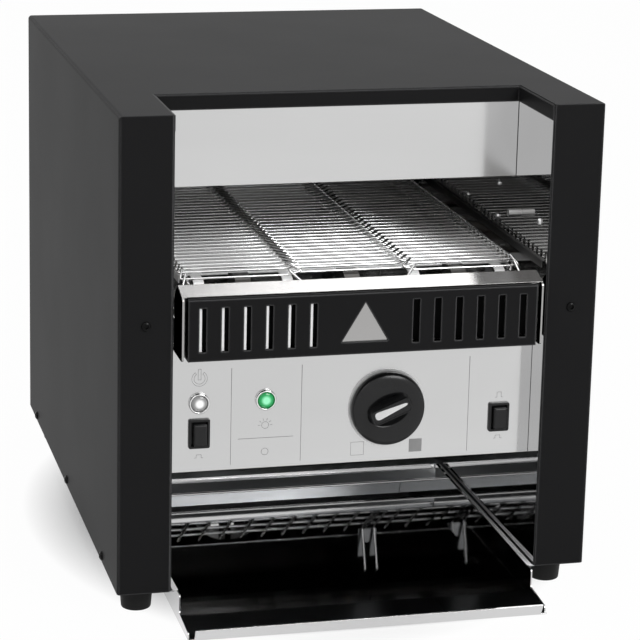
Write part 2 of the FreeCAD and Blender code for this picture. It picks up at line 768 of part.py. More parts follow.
def gearmotor():
    """Worm gearbox on four posts, the drive shaft passing through it, with its motor hanging below."""
    x0 = WALL_OUT + GEARBOX_STAND
    x1 = x0 + GEARBOX_W
    y0 = DRIVE_Y - GEARBOX_D / 2
    z0 = DRIVE_Z - GEARBOX_H / 2
    body = box(x0, x1, y0, y0 + GEARBOX_D, z0, z0 + GEARBOX_H)
    body = body.makeFillet(GEARBOX_CORNER, edges_along(body, V(1, 0, 0), lambda m: True))
    pieces = [body]
    inset = GEARBOX_POST_INSET
    for y in (y0 + inset, y0 + GEARBOX_D - inset):
        for z in (z0 + inset, z0 + GEARBOX_H - inset):
            pieces.append(rod(V(WALL_OUT, y, z), V(1, 0, 0), GEARBOX_POST_R, GEARBOX_STAND + CUT))
    middle = (x0 + x1) / 2
    pieces.append(rod(V(middle, DRIVE_Y, z0 + CUT), V(0, 0, -1), MOTOR_R, MOTOR_L + CUT))
    pieces.append(rod(V(middle, DRIVE_Y, z0 - MOTOR_L), V(0, 0, -1), MOTOR_CAP_R, MOTOR_CAP_L))
    whole = joined(pieces)
    bore = rod(V(x0 - CUT, DRIVE_Y, DRIVE_Z), V(1, 0, 0), DRIVE_R + RUN_FIT, GEARBOX_W + 2 * CUT)
    return [whole.cut(bore)]


def bed_plate():
    """Polished bed under the top run, with heat windows, side flanges, wall tabs and four nose tongues."""
    half = BED_HALF_W
    low = BED_Z - BED_T
    plate = box(-half, half, BED_FRONT_Y, BED_BACK_Y, low, BED_Z)
    bay = (2 * half - 4 * BED_BAR_W) / 3
    for lane in range(3):
        x = -half + BED_BAR_W + lane * (bay + BED_BAR_W)
        plate = plate.cut(box(x, x + bay, BED_WINDOW_Y0, BED_WINDOW_Y1, low - CUT, BED_Z + CUT))
    flange = box(half - BED_T, half, BED_FRONT_Y, BED_BACK_Y, BED_Z - BED_FLANGE, low)
    pieces = [plate] + both(flange)
    floor = BED_Z - BED_FLANGE
    between = [(a + b - BED_TAB_L) / 2 for a, b in zip(LOWER_HEATER_Y, LOWER_HEATER_Y[1:])]
    for y in [BED_FRONT_Y + BED_TAB_L] + between:
        pieces += both(box(half - BED_T, WALL_IN - FIT, y, y + BED_TAB_L, floor, floor + BED_T))
    outer = BED_Z - IDLER_Z
    stop = QUARTER + TONGUE_TURN
    upper = arc_points((IDLER_Y, IDLER_Z), outer, QUARTER, stop, TONGUE_STEPS)
    lower = arc_points((IDLER_Y, IDLER_Z), outer - BED_T, QUARTER, stop, TONGUE_STEPS)
    outline = [(BED_FRONT_Y, BED_Z)] + upper + lower[::-1] + [(BED_FRONT_Y, low)]
    for x in TONGUE_X:
        pieces.append(across(outline, x - TONGUE_W / 2, x + TONGUE_W / 2))
    whole = joined(pieces)
    gap = ROLLER_L / 2 + ROLLER_CLEAR * 2
    for x in ROLLER_X:
        notch = box(x - gap, x + gap, BED_FRONT_Y - CUT, BED_FRONT_Y + BED_NOTCH, floor, BED_Z + CUT)
        whole = whole.cut(notch)
    return [whole]


def heater_tubes(places, z):
    """Straight heater tubes that reach through both walls, each with its two terminal pins."""
    tubes = []
    end = WALL_OUT + HEATER_TAIL
    for y in places:
        tube = rod(V(-end, y, z), V(1, 0, 0), HEATER_R, 2 * end)
        pins = rod(V(-end - HEATER_PIN_L, y, z), V(1, 0, 0), HEATER_PIN_R, 2 * (end + HEATER_PIN_L))
        tubes.append(tube.fuse(pins))
    return tubes


def heater_holders():
    """Square ceramic holders in both walls, one at each end of each tube."""
    holders = []
    side = HOLDER_SIDE / 2
    for y, z in heater_places():
        block = box(WALL_IN - HOLDER_IN, WALL_OUT + HOLDER_OUT, y - side, y + side, z - side, z + side)
        hole = rod(V(WALL_IN - HOLDER_IN - CUT, y, z), V(1, 0, 0), HEATER_R + RUN_FIT, HEATER_TAIL * 2)
        holders += both(block.cut(hole))
    return holders


def upper_reflector():
    """Folded reflector above the upper heaters."""
    half = WALL_IN - FIT
    line = [
        (UPPER_REFLECTOR_Y0, UPPER_REFLECTOR_EDGE_Z),
        (UPPER_REFLECTOR_Y0 + UPPER_REFLECTOR_SLOPE, UPPER_REFLECTOR_Z),
        (UPPER_REFLECTOR_Y1 - UPPER_REFLECTOR_SLOPE, UPPER_REFLECTOR_Z),
        (UPPER_REFLECTOR_Y1, UPPER_REFLECTOR_EDGE_Z),
    ]
    return [folded(line, REFLECTOR_T, -half, half)]


def lower_reflector():
    """Trough under the lower heaters, between the two runs of the belt."""
    half = WALL_IN - FIT
    top = BED_Z - BED_FLANGE - FIT
    line = [
        (LOWER_REFLECTOR_Y0, top),
        (LOWER_REFLECTOR_Y0, LOWER_REFLECTOR_Z),
        (LOWER_REFLECTOR_Y1, LOWER_REFLECTOR_Z),
        (LOWER_REFLECTOR_Y1, top),
    ]
    return [folded(line, REFLECTOR_T, -half, half)]


def slot_lefts():
    """The left edges of the guard's slots, both groups."""
    found = []
    for i in range(SLOT_COUNT):
        edge = SLOT_FIRST_X - i * SLOT_PITCH
        found += [-edge - SLOT_W / 2, edge - SLOT_W / 2]
    return found


def window_face(y, grow):
    """The triangular window of the guard, in a plane of constant Y."""
    half = WINDOW_W / 2 + grow
    low = WINDOW_LOW_Z - grow
    return face([V(-half, y, low), V(half, y, low), V(0, y, WINDOW_LOW_Z + WINDOW_H + grow)])


def guard_cover():
    """Black slotted cover: front sheet with a window, rolled in at the top and turned back below."""
    half = GUARD_W / 2 - GUARD_COVER_INSET
    y = GUARD_FRONT_Y
    line = [
        (GUARD_BOTTOM_BACK_Y, GUARD_LOW_Z),
        (y, GUARD_LOW_Z),
        (y, GUARD_HIGH_Z - GUARD_T),
        (y + 2 * GUARD_T, GUARD_HIGH_Z),
    ]
    sheet = folded(line[::-1], GUARD_T, -half, half)
    for x in slot_lefts():
        sheet = sheet.cut(box(x, x + SLOT_W, y - CUT, y + GUARD_T + CUT, SLOT_LOW_Z, SLOT_LOW_Z + SLOT_H))
    return [sheet.cut(window_face(y - CUT, 0).extrude(V(0, GUARD_T + 2 * CUT, 0)))]


def guard_frame():
    """Stainless frame of the guard: slotted liner, rolled lip, round-cornered cheeks and foot flange."""
    half = GUARD_W / 2
    inner = half - WALL_T - FIT
    y = GUARD_FRONT_Y + GUARD_T + FIT
    floor = GUARD_LOW_Z + GUARD_T + FIT
    liner_y = y + GUARD_LINER_BACK
    lip_front = (GUARD_FRONT_Y + 2 * GUARD_T + FIT, GUARD_HIGH_Z + FIT)
    lip = [lip_front, (GUARD_LIP_Y, GUARD_LIP_Z), (GUARD_LIP_Y + GUARD_LIP_ROLL, GUARD_LIP_Z - 2 * GUARD_LIP_ROLL)]
    slope = (GUARD_LIP_Z - lip_front[1]) / (GUARD_LIP_Y - lip_front[0])
    under_lip = lip_front[1] + (liner_y - lip_front[0]) * slope + WALL_T / 2
    body = [(GUARD_BACK_Y, floor), (liner_y, floor), (liner_y, under_lip)]
    lip_sheet = folded(lip, WALL_T, -half, half)
    liner = folded(body[::-1], WALL_T, -half, half)
    for x in slot_lefts():
        top = SLOT_LOW_Z + SLOT_H
        shift = GUARD_LINER_BACK / 3
        cutter = box(x + shift, x + shift + SLOT_W, liner_y - CUT, liner_y + WALL_T + CUT, SLOT_LOW_Z, top)
        liner = liner.cut(cutter)
    pad = window_face(y, WALL_T).extrude(V(0, GUARD_LINER_BACK, 0))
    outline = [
        (GUARD_FRONT_Y, GUARD_LOW_Z),
        (CHEEK_BACK_Y, GUARD_LOW_Z),
        (CHEEK_BACK_Y, GUARD_LIP_Z - CHEEK_CORNER),
        (GUARD_LIP_Y, GUARD_LIP_Z + WALL_T / 2),
        (GUARD_FRONT_Y, GUARD_HIGH_Z),
    ]
    cheek = across(outline, inner, half)
    corners = edges_along(cheek, V(1, 0, 0), lambda m: m.y < 0)
    cheek = cheek.makeFillet(CHEEK_CORNER / 3, corners)
    frame = joined([lip_sheet, liner, pad] + both(cheek))
    return [frame]


def control_panel():
    """Brushed front of the control box with its openings, top flange and lower hem."""
    half = PANEL_W / 2
    y = PANEL_Y
    top = PANEL_TOP_Z
    line = [
        (y + PANEL_HEM, PANEL_LOW_Z),
        (y, PANEL_LOW_Z),
        (y, top),
        (y + PANEL_HEM + BOX_T, top),
    ]
    sheet = folded(line[::-1], PANEL_T, -half, half)
    way = V(0, 1, 0)
    length = PANEL_T + 2 * CUT
    for x in (WHITE_LAMP_X, GREEN_LAMP_X):
        sheet = sheet.cut(rod(V(x, y - CUT, LAMP_Z), way, LAMP_STEM_R + PRESS_FIT, length))
    sheet = sheet.cut(rod(V(KNOB_X, y - CUT, KNOB_Z), way, REGULATOR_NECK_R + PRESS_FIT, length))
    for side in (-1, 1):
        sheet = sheet.cut(button_block(side, y - CUT, length, BUTTON_BODY_INSET - PRESS_FIT))
    return [sheet]


def button_block(side, y, length, inset):
    """A block on a button's axis, smaller all round than the bezel by an inset."""
    w = BUTTON_W / 2 - inset
    h = BUTTON_H / 2 - inset
    x = side * BUTTON_X
    return box(x - w, x + w, y, y + length, BUTTON_Z - h, BUTTON_Z + h)


def control_box():
    """Sheet housing behind the panel: floor, sloped back, lid and end walls."""
    half = WALL_IN - FIT
    front = PANEL_Y + PANEL_T + FIT
    low = PANEL_LOW_Z + PANEL_T + FIT
    high = PANEL_TOP_Z - PANEL_T - FIT
    line = [(front, low), (BOX_BACK_Y, low), (BOX_BACK_Y, high - BOX_SLOPE_Y / 2), (BOX_BACK_Y - BOX_SLOPE_Y, high)]
    line += [(front, high)]
    shell = folded(line, BOX_T, -half, half)
    end = across(line, half - BOX_T, half)
    return [joined([shell] + both(end))]


def lamp_bezel(x):
    """A turned chrome rim with a bevelled front and a hollow stem."""
    y = PANEL_Y
    rim = LAMP_R - LAMP_RIM
    profile = [
        (0, y - LAMP_STAND * 0.4),
        (rim - LAMP_RIM / 2, y - LAMP_STAND * 0.4),
        (rim, y - LAMP_STAND),
        (LAMP_R - LAMP_RIM / 2, y - LAMP_STAND),
        (LAMP_R, y - LAMP_STAND / 2),
        (LAMP_R, y),
        (LAMP_STEM_R, y),
        (LAMP_STEM_R, y + LAMP_STEM_L),
        (0, y + LAMP_STEM_L),
    ]
    outline = face([V(x + r, depth, LAMP_Z) for r, depth in profile])
    return outline.revolve(V(x, 0, LAMP_Z), V(0, 1, 0), 360)


def lamp_lens(x):
    """A domed lens on the front of a lamp."""
    y = PANEL_Y - LAMP_STAND * 0.4
    radius = LAMP_R - LAMP_RIM * 1.5
    sag = LENS_DOME
    ball = (radius ** 2 + sag ** 2) / (2 * sag)
    sphere = Part.makeSphere(ball, V(x, y - sag + ball, LAMP_Z))
    return [sphere.common(rod(V(x, y, LAMP_Z), V(0, -1, 0), radius, sag + CUT))]


def button_bezels():
    """Two moulded bezels with a pocket for the cap and the switch body behind the panel."""
    found = []
    for side in (-1, 1):
        y = PANEL_Y - BUTTON_STAND
        rim = button_block(side, y, BUTTON_STAND, 0)
        rim = rim.makeFillet(BUTTON_CORNER, edges_along(rim, V(0, 1, 0), lambda m: True))
        tail = button_block(side, PANEL_Y, BUTTON_BODY_L, BUTTON_BODY_INSET)
        pocket = button_block(side, y - CUT, BUTTON_STAND + CUT + CAP_TAIL + BUTTON_TRAVEL + FIT, BUTTON_WALL)
        found.append(rim.fuse(tail).cut(pocket))
    return found


def button_cap(side):
    """A push cap that stands out of its bezel, with softened front edges."""
    y = PANEL_Y - CAP_STAND
    cap = button_block(side, y, CAP_STAND + CAP_TAIL, BUTTON_WALL + FIT)
    front = [e for e in cap.Edges if e.CenterOfMass.y < y + CAP_EDGE / 2]
    return [cap.makeChamfer(CAP_EDGE, front)]


def knob_turn(shape):
    """A shape made for a pointer along +X, turned to the knob's rest angle about its axis."""
    turned = shape.copy()
    turned.rotate(V(KNOB_X, 0, KNOB_Z), V(0, -1, 0), POINTER_ANGLE)
    return turned


def knob():
    """Domed knob with a skirt, a tapered grip bar and a socket for the spindle."""
    back = PANEL_Y - KNOB_GAP
    y1 = back - KNOB_SKIRT
    y2 = back - KNOB_DOME
    rim = V(KNOB_X + KNOB_R, y1, KNOB_Z)
    crown = V(KNOB_X + KNOB_CROWN_R, y2, KNOB_Z)
    bulge = V(KNOB_X + (KNOB_R + KNOB_CROWN_R) / 2 + KNOB_SKIRT / 2, (y1 + y2) / 2 - KNOB_SKIRT / 4, KNOB_Z)
    points = [V(KNOB_X, back, KNOB_Z), V(KNOB_X + KNOB_R, back, KNOB_Z)]
    edges = [
        Part.makeLine(points[0], points[1]),
        Part.makeLine(points[1], rim),
        Part.Arc(rim, bulge, crown).toShape(),
        Part.makeLine(crown, V(KNOB_X, y2, KNOB_Z)),
        Part.makeLine(V(KNOB_X, y2, KNOB_Z), points[0]),
    ]
    dome = Part.Face(Part.Wire(edges)).revolve(V(KNOB_X, 0, KNOB_Z), V(0, 1, 0), 360)
    ball = (BOWL_R ** 2 + BOWL_DEPTH ** 2) / (2 * BOWL_DEPTH)
    dome = dome.cut(Part.makeSphere(ball, V(KNOB_X, y2 + BOWL_DEPTH - ball, KNOB_Z)))
    front = back - GRIP_STAND
    low = grip_wire(y2 + BOWL_DEPTH + CUT / 2, 0)
    high = grip_wire(front, GRIP_TAPER)
    bar = Part.makeLoft([low, high], True)
    whole = dome.fuse(knob_turn(bar)).removeSplitter()
    whole = whole.cut(knob_turn(pointer_block(POINTER_T)))
    socket = rod(V(KNOB_X, back + CUT, KNOB_Z), V(0, -1, 0), SPINDLE_R + PRESS_FIT, CUT + SPINDLE_DEPTH)
    return [whole.cut(socket)]


def grip_wire(y, inset):
    """The grip bar's outline at a depth: a slot shape drawn in by an inset."""
    reach = GRIP_L / 2 - inset
    half = GRIP_W / 2 - inset
    straight = reach - GRIP_CORNER * 2
    x = KNOB_X
    z = KNOB_Z
    right = Part.Arc(V(x + straight, y, z + half), V(x + reach, y, z), V(x + straight, y, z - half))
    left = Part.Arc(V(x - straight, y, z - half), V(x - reach, y, z), V(x - straight, y, z + half))
    top = Part.makeLine(V(x - straight, y, z + half), V(x + straight, y, z + half))
    low = Part.makeLine(V(x + straight, y, z - half), V(x - straight, y, z - half))
    return Part.Wire([top, right.toShape(), low, left.toShape()])


def pointer_block(depth):
    """The tapered pointer on the front of the grip bar, as deep as asked."""
    y = PANEL_Y - KNOB_GAP - GRIP_STAND
    back = KNOB_X - POINTER_L / 2
    tip = KNOB_X + POINTER_L / 2
    wide = POINTER_W / 2
    nose = POINTER_NOSE / 2
    points = [(back, -wide), (tip, -nose), (tip, nose), (back, wide)]
    return face([V(x, y, KNOB_Z + z) for x, z in points]).extrude(V(0, depth, 0))


def knob_ring():
    """Thin bright ring round the foot of the knob."""
    start = V(KNOB_X, PANEL_Y - KNOB_RING_T, KNOB_Z)
    ring = rod(start, V(0, 1, 0), KNOB_RING_R, KNOB_RING_T)
    return [ring.cut(rod(start - V(0, CUT, 0), V(0, 1, 0), KNOB_R - KNOB_RING_T, KNOB_RING_T + 2 * CUT))]


def knob_spindle():
    """Round spindle from the regulator into the knob, turning with it."""
    front = PANEL_Y - KNOB_GAP - SPINDLE_DEPTH
    length = KNOB_GAP + SPINDLE_DEPTH + PANEL_T + REGULATOR_L / 2
    return [rod(V(KNOB_X, front, KNOB_Z), V(0, 1, 0), SPINDLE_R, length)]


def browning_regulator():
    """Regulator body behind the panel, its threaded neck in the panel's hole."""
    w = REGULATOR_W / 2
    h = REGULATOR_H / 2
    back = PANEL_Y + PANEL_T
    body = box(KNOB_X - w, KNOB_X + w, back, back + REGULATOR_L, KNOB_Z - h, KNOB_Z + h)
    neck = rod(V(KNOB_X, PANEL_Y, KNOB_Z), V(0, 1, 0), REGULATOR_NECK_R, PANEL_T)
    bore = rod(V(KNOB_X, PANEL_Y - CUT, KNOB_Z), V(0, 1, 0), SPINDLE_R + RUN_FIT, CUT + PANEL_T + REGULATOR_L / 2 + FIT)
    return [body.fuse(neck).cut(bore)]


def chute_line():
    """The rear chute's line in (y, z): down the back, round the bend and forward to its lip."""
    slope = math.radians(CHUTE_ANGLE)
    corner_z = CHUTE_LIP_Z + (CHUTE_Y - CHUTE_LIP_Y) * math.tan(slope)
    reach = CHUTE_BEND * math.tan((math.pi / 2 - slope) / 2)
    centre = (CHUTE_Y - CHUTE_BEND, corner_z + reach)
    bend = arc_points(centre, CHUTE_BEND, 0, CHUTE_ANGLE - 90, 8)
    return [(CHUTE_Y, CHUTE_TOP_Z)] + bend + [(CHUTE_LIP_Y, CHUTE_LIP_Z)]


def rear_chute():
    """Curved sheet that catches the toast behind the belt and turns it forward."""
    half = WALL_IN - FIT
    return [folded(chute_line(), CHUTE_T, -half, half)]


def slide_point(share):
    """A point along the wire slide, from its low end."""
    slope = math.radians(CHUTE_ANGLE)
    reach = share * SLIDE_RUN
    return SLIDE_LOW_Y + reach * math.cos(slope), SLIDE_LOW_Z + reach * math.sin(slope)


def slide_crosses():
    """The cross wires of the slide, whose ends sit in the inner walls, as (y, z)."""
    slope = math.radians(CHUTE_ANGLE)
    found = []
    drop = 2 * SLIDE_WIRE_R - SLIDE_WELD
    for share in SLIDE_CROSS_SHARES:
        y, z = slide_point(share)
        found.append((y + drop * math.sin(slope), z - drop * math.cos(slope)))
    return found


def wire_slide():
    """Welded wire grid that leads the toast from the chute's lip down to the tray."""
    slope = math.radians(CHUTE_ANGLE)
    way = V(0, math.cos(slope), math.sin(slope))
    bars = []
    low_y, low_z = slide_point(0)
    for i in range(SLIDE_WIRES):
        x = (i - (SLIDE_WIRES - 1) / 2) * SLIDE_PITCH
        bars.append(rod(V(x, low_y, low_z), way, SLIDE_WIRE_R, SLIDE_RUN))
    for y, z in slide_crosses():
        end = WALL_OUT if z - SLIDE_WIRE_R > BASE_T else WALL_IN - FIT - TRAY_FLANGE
        bars.append(rod(V(-end, y, z), V(1, 0, 0), SLIDE_WIRE_R, 2 * end))
    return [joined(bars)]


def bent_wire(points, radius):
    """A round wire along a path, with a ball at each bend."""
    pieces = []
    for a, b in zip(points, points[1:]):
        pieces.append(rod(a, b - a, radius, (b - a).Length))
    for p in points[1:-1]:
        pieces.append(Part.makeSphere(radius, p))
    return joined(pieces)


def stop_base():
    """Where the stop wires turn upright, as (y, z), lying on the slide's cross wires."""
    y, z = slide_point(SLIDE_CROSS_SHARES[-1])
    lift = SLIDE_WELD + RUN_FIT
    slope = math.radians(CHUTE_ANGLE)
    return y - lift * math.sin(slope), z + lift * math.cos(slope)


def stop_wires():
    """Two bent wires that follow the slide and then stand up in front of their bracket."""
    slope = math.radians(CHUTE_ANGLE)
    y, z = stop_base()
    low = (y - STOP_REACH * math.cos(slope), z - STOP_REACH * math.sin(slope))
    wires = []
    for side in (-1, 1):
        x = STOP_X + side * STOP_GAP / 2
        points = [V(x, low[0], low[1]), V(x, y, z), V(x, y - STOP_AHEAD, STOP_TOP_Z)]
        wires.append(bent_wire(points, SLIDE_WIRE_R))
    return wires


def slide_bracket():
    """Slotted bracket behind the stop wires, standing on the slide."""
    y = stop_base()[0]
    slope = math.radians(CHUTE_ANGLE)
    front = y + SLIDE_WIRE_R + FIT
    rise = (front + BRACKET_T - SLIDE_LOW_Y) * math.tan(slope)
    low = SLIDE_LOW_Z + rise + SLIDE_WIRE_R / math.cos(slope) + FIT / 2
    plate = box(STOP_X - BRACKET_W / 2, STOP_X + BRACKET_W / 2, front, front + BRACKET_T, low, low + BRACKET_H)
    w = STOP_GAP / 4
    top = low + BRACKET_H
    slot = box(STOP_X - w, STOP_X + w, front - CUT, front + CUT + BRACKET_T, top - BRACKET_H / 2, top + CUT)
    return [plate.cut(slot)]


def toast_tray():
    """Polished tray: floor, rear ramp with a flange, side walls with a stepped nose and the front lip."""
    floor = TRAY_FLOOR_Z
    half = TRAY_HALF_W
    back = TRAY_BACK_Y
    bar = [
        (back - TRAY_BAR_FLANGE, floor + TRAY_BAR_H),
        (back, floor + TRAY_BAR_H),
        (back - TRAY_BAR_RUN, floor),
        (TRAY_FRONT_Y + TRAY_LIP_LEAN, floor),
    ]
    sheet = folded(bar[::-1], TRAY_T, -half, half)
    lip_half = half - TRAY_LIP_INSET
    lip = [
        (TRAY_FRONT_Y + TRAY_LIP_LEAN + TRAY_T, floor),
        (TRAY_FRONT_Y + TRAY_LIP_LEAN, floor),
        (TRAY_FRONT_Y, floor + TRAY_LIP_H),
    ]
    front = folded(lip[::-1], TRAY_T, -lip_half, lip_half)
    outline = [
        (TRAY_NOSE_Y, floor),
        (back - TRAY_BAR_RUN, floor),
        (back, floor + TRAY_BAR_H),
        (back, FIT + TRAY_T),
        (TRAY_STEP_Y, FIT + TRAY_T),
        (TRAY_STEP_Y, TRAY_STEP_Z),
        (TRAY_NOSE_Y, TRAY_NOSE_Z),
    ]
    side = across(outline, half - TRAY_T, half)
    corners = [e for e in edges_along(side, V(1, 0, 0), lambda m: m.y < 0 and m.z > floor + TRAY_T)]
    side = side.makeFillet(TRAY_LIP_INSET / 2, corners)
    flange = box(half - TRAY_T, half + TRAY_FLANGE, 0, back, FIT, FIT + TRAY_T)
    return [joined([sheet, front] + both(side) + both(flange))]


def fan_frame():
    """Square fan housing with its round duct, four struts and motor cup."""
    half = FAN_SIDE / 2
    y1 = REAR_Y - REAR_T - FIT
    y0 = y1 - FAN_L
    body = box(-half, half, y0, y1, FAN_Z - half, FAN_Z + half)
    body = body.makeFillet(FAN_CORNER, edges_along(body, V(0, 1, 0), lambda m: True))
    body = body.cut(rod(V(0, y0 - CUT, FAN_Z), V(0, 1, 0), FAN_DUCT_R, FAN_L + 2 * CUT))
    w = FAN_STRUT_W / 2
    reach = FAN_DUCT_R + CUT / 2
    bars = [box(-reach, reach, y0, y0 + FAN_STRUT_L, FAN_Z - w, FAN_Z + w)]
    bars.append(box(-w, w, y0, y0 + FAN_STRUT_L, FAN_Z - reach, FAN_Z + reach))
    cup = rod(V(0, y0, FAN_Z), V(0, 1, 0), FAN_HUB_R, FAN_STRUT_L)
    axle = rod(V(0, y0, FAN_Z), V(0, 1, 0), SPINDLE_R, FAN_L / 2)
    return [joined([body, cup, axle] + bars)]


def fan_rotor():
    """Fan hub with its pitched blades, running on the housing's axle."""
    y1 = REAR_Y - REAR_T - FIT
    y0 = y1 - FAN_L + FAN_STRUT_L + FAN_TIP_GAP
    length = y1 - FAN_TIP_GAP - y0
    hub = rod(V(0, y0, FAN_Z), V(0, 1, 0), FAN_HUB_R, length)
    blades = []
    tip = FAN_DUCT_R - FAN_TIP_GAP
    chord = length / math.cos(math.radians(FAN_BLADE_PITCH))
    for i in range(FAN_BLADES):
        blade = box(-chord / 2, chord / 2, -FAN_BLADE_T / 2, FAN_BLADE_T / 2, FAN_HUB_R - CUT, tip)
        blade.rotate(V(0, 0, 0), V(0, 0, 1), 90 - FAN_BLADE_PITCH)
        blade.rotate(V(0, 0, 0), V(0, 1, 0), i * 360 / FAN_BLADES)
        blade.translate(V(0, y0 + length / 2, FAN_Z))
        blades.append(blade)
    disc = rod(V(0, y0, FAN_Z), V(0, 1, 0), tip, length)
    whole = joined([hub] + blades).common(disc)
    bore = rod(V(0, y0 - CUT, FAN_Z), V(0, 1, 0), SPINDLE_R + RUN_FIT, FAN_L / 2)
    return [whole.cut(bore)]


def cord_gland():
    """Round-nosed gland with a hexagon and a through bore for the cord, which isn't modelled."""
    start = V(GLAND_X, REAR_Y, GLAND_Z)
    way = V(0, 1, 0)
    points = []
    for i in range(6):
        angle = math.radians(60 * i)
        points.append(start + V(GLAND_FLAT_R * math.cos(angle), 0, GLAND_FLAT_R * math.sin(angle)))
    nut = face(points).extrude(way * GLAND_FLAT_L)
    dome = Part.makeCone(GLAND_DOME_R, GLAND_THREAD_R, GLAND_DOME_L, start + way * GLAND_FLAT_L, way)
    tail = rod(start - way * GLAND_TAIL, way, GLAND_THREAD_R, GLAND_TAIL)
    bore = rod(start - way * (GLAND_TAIL + CUT), way, GLAND_BORE_R, GLAND_TAIL + REAR_REACH + 2 * CUT)
    return [joined([nut, dome, tail]).cut(bore)]


def terminal_block():
    """Mains terminal block with its barriers, on the base strip behind the left wall."""
    x1 = -WALL_OUT - FIT
    x0 = x1 - TERMINAL_W
    y0 = TERMINAL_Y
    body = box(x0, x1, y0, y0 + TERMINAL_D, 0, TERMINAL_H / 2)
    pieces = [body]
    step = (TERMINAL_D - TERMINAL_BARRIER) / TERMINAL_WAYS
    for i in range(TERMINAL_WAYS + 1):
        y = y0 + i * step
        pieces.append(box(x0, x1, y, y + TERMINAL_BARRIER, TERMINAL_H / 2, TERMINAL_H))
    return [joined(pieces)]


def control_board():
    """Circuit board on four posts on the control box floor, with its relays."""
    floor = PANEL_LOW_Z + PANEL_T + FIT + BOX_T
    x0 = BOARD_X - BOARD_W / 2
    y0 = BOARD_Y - BOARD_D / 2
    z0 = floor + BOARD_POST
    board = box(x0, x0 + BOARD_W, y0, y0 + BOARD_D, z0, z0 + BOARD_T)
    pieces = [board]
    inset = BOARD_POST
    for x in (x0 + inset, x0 + BOARD_W - inset):
        for y in (y0 + inset, y0 + BOARD_D - inset):
            pieces.append(rod(V(x, y, floor), V(0, 0, 1), BOARD_POST / 2, BOARD_POST))
    for i in range(RELAYS):
        x = x0 + 2 * inset + i * (RELAY_W + RELAY_GAP)
        y = y0 + 2 * inset
        pieces.append(box(x, x + RELAY_W, y, y + RELAY_D, z0 + BOARD_T, z0 + BOARD_T + RELAY_H))
    return [joined(pieces)]


def screw(seat, outward, radius, stand, reach):
    """A low screw: chamfered head with a hex recess on the outside, a shank through the sheet."""
    head = Part.makeCone(radius, radius * 0.8, stand, seat, outward)
    shank = rod(seat, outward * -1, SCREW_SHANK_R, reach)
    recess = rod(seat + outward * (stand - SCREW_RECESS), outward, SCREW_RECESS_R, SCREW_RECESS + CUT)
    return head.fuse(shank).cut(recess)


def screws(group):
    """All the screws of a group."""
    found = []
    for x, y, z in screw_places(group):
        outward = {"side": V(math.copysign(1, x), 0, 0), "pillar": V(0, -1, 0), "rear": V(0, 1, 0)}[group]
        reach = CASE_T + WALL_T if group == "pillar" else CASE_T
        found.append(screw(V(x, y, z), outward, SCREW_R, SCREW_STAND, reach))
    return found


def wall_screws():
    """Small screws on the inner faces of both walls."""
    found = []
    for y, z in zip(WALL_SCREW_Y, WALL_SCREW_Z):
        found += both(screw(V(WALL_IN, y, z), V(-1, 0, 0), WALL_SCREW_R, WALL_SCREW_STAND, WALL_T + SCREW_STAND))
    return found


def feed_sensors():
    """The pair of round sensor heads that watch the feed mouth, each with a nut behind its wall."""
    start = V(WALL_IN - SENSOR_REACH, SENSOR_Y, SENSOR_Z)
    pin = rod(start, V(1, 0, 0), SENSOR_R, SENSOR_REACH + WALL_T + SENSOR_TAIL)
    nut = rod(V(WALL_OUT, SENSOR_Y, SENSOR_Z), V(1, 0, 0), SENSOR_NUT_R, SENSOR_NUT_L)
    return both(joined([pin, nut]))


def export(name, solids):
    """One STEP file for one node, moved to the row's frame."""
    shape = solids[0] if len(solids) == 1 else Part.makeCompound(solids)
    shape = shape.copy()
    shape.translate(SHIFT)
    shape.exportStep("parts/" + name + ".step")


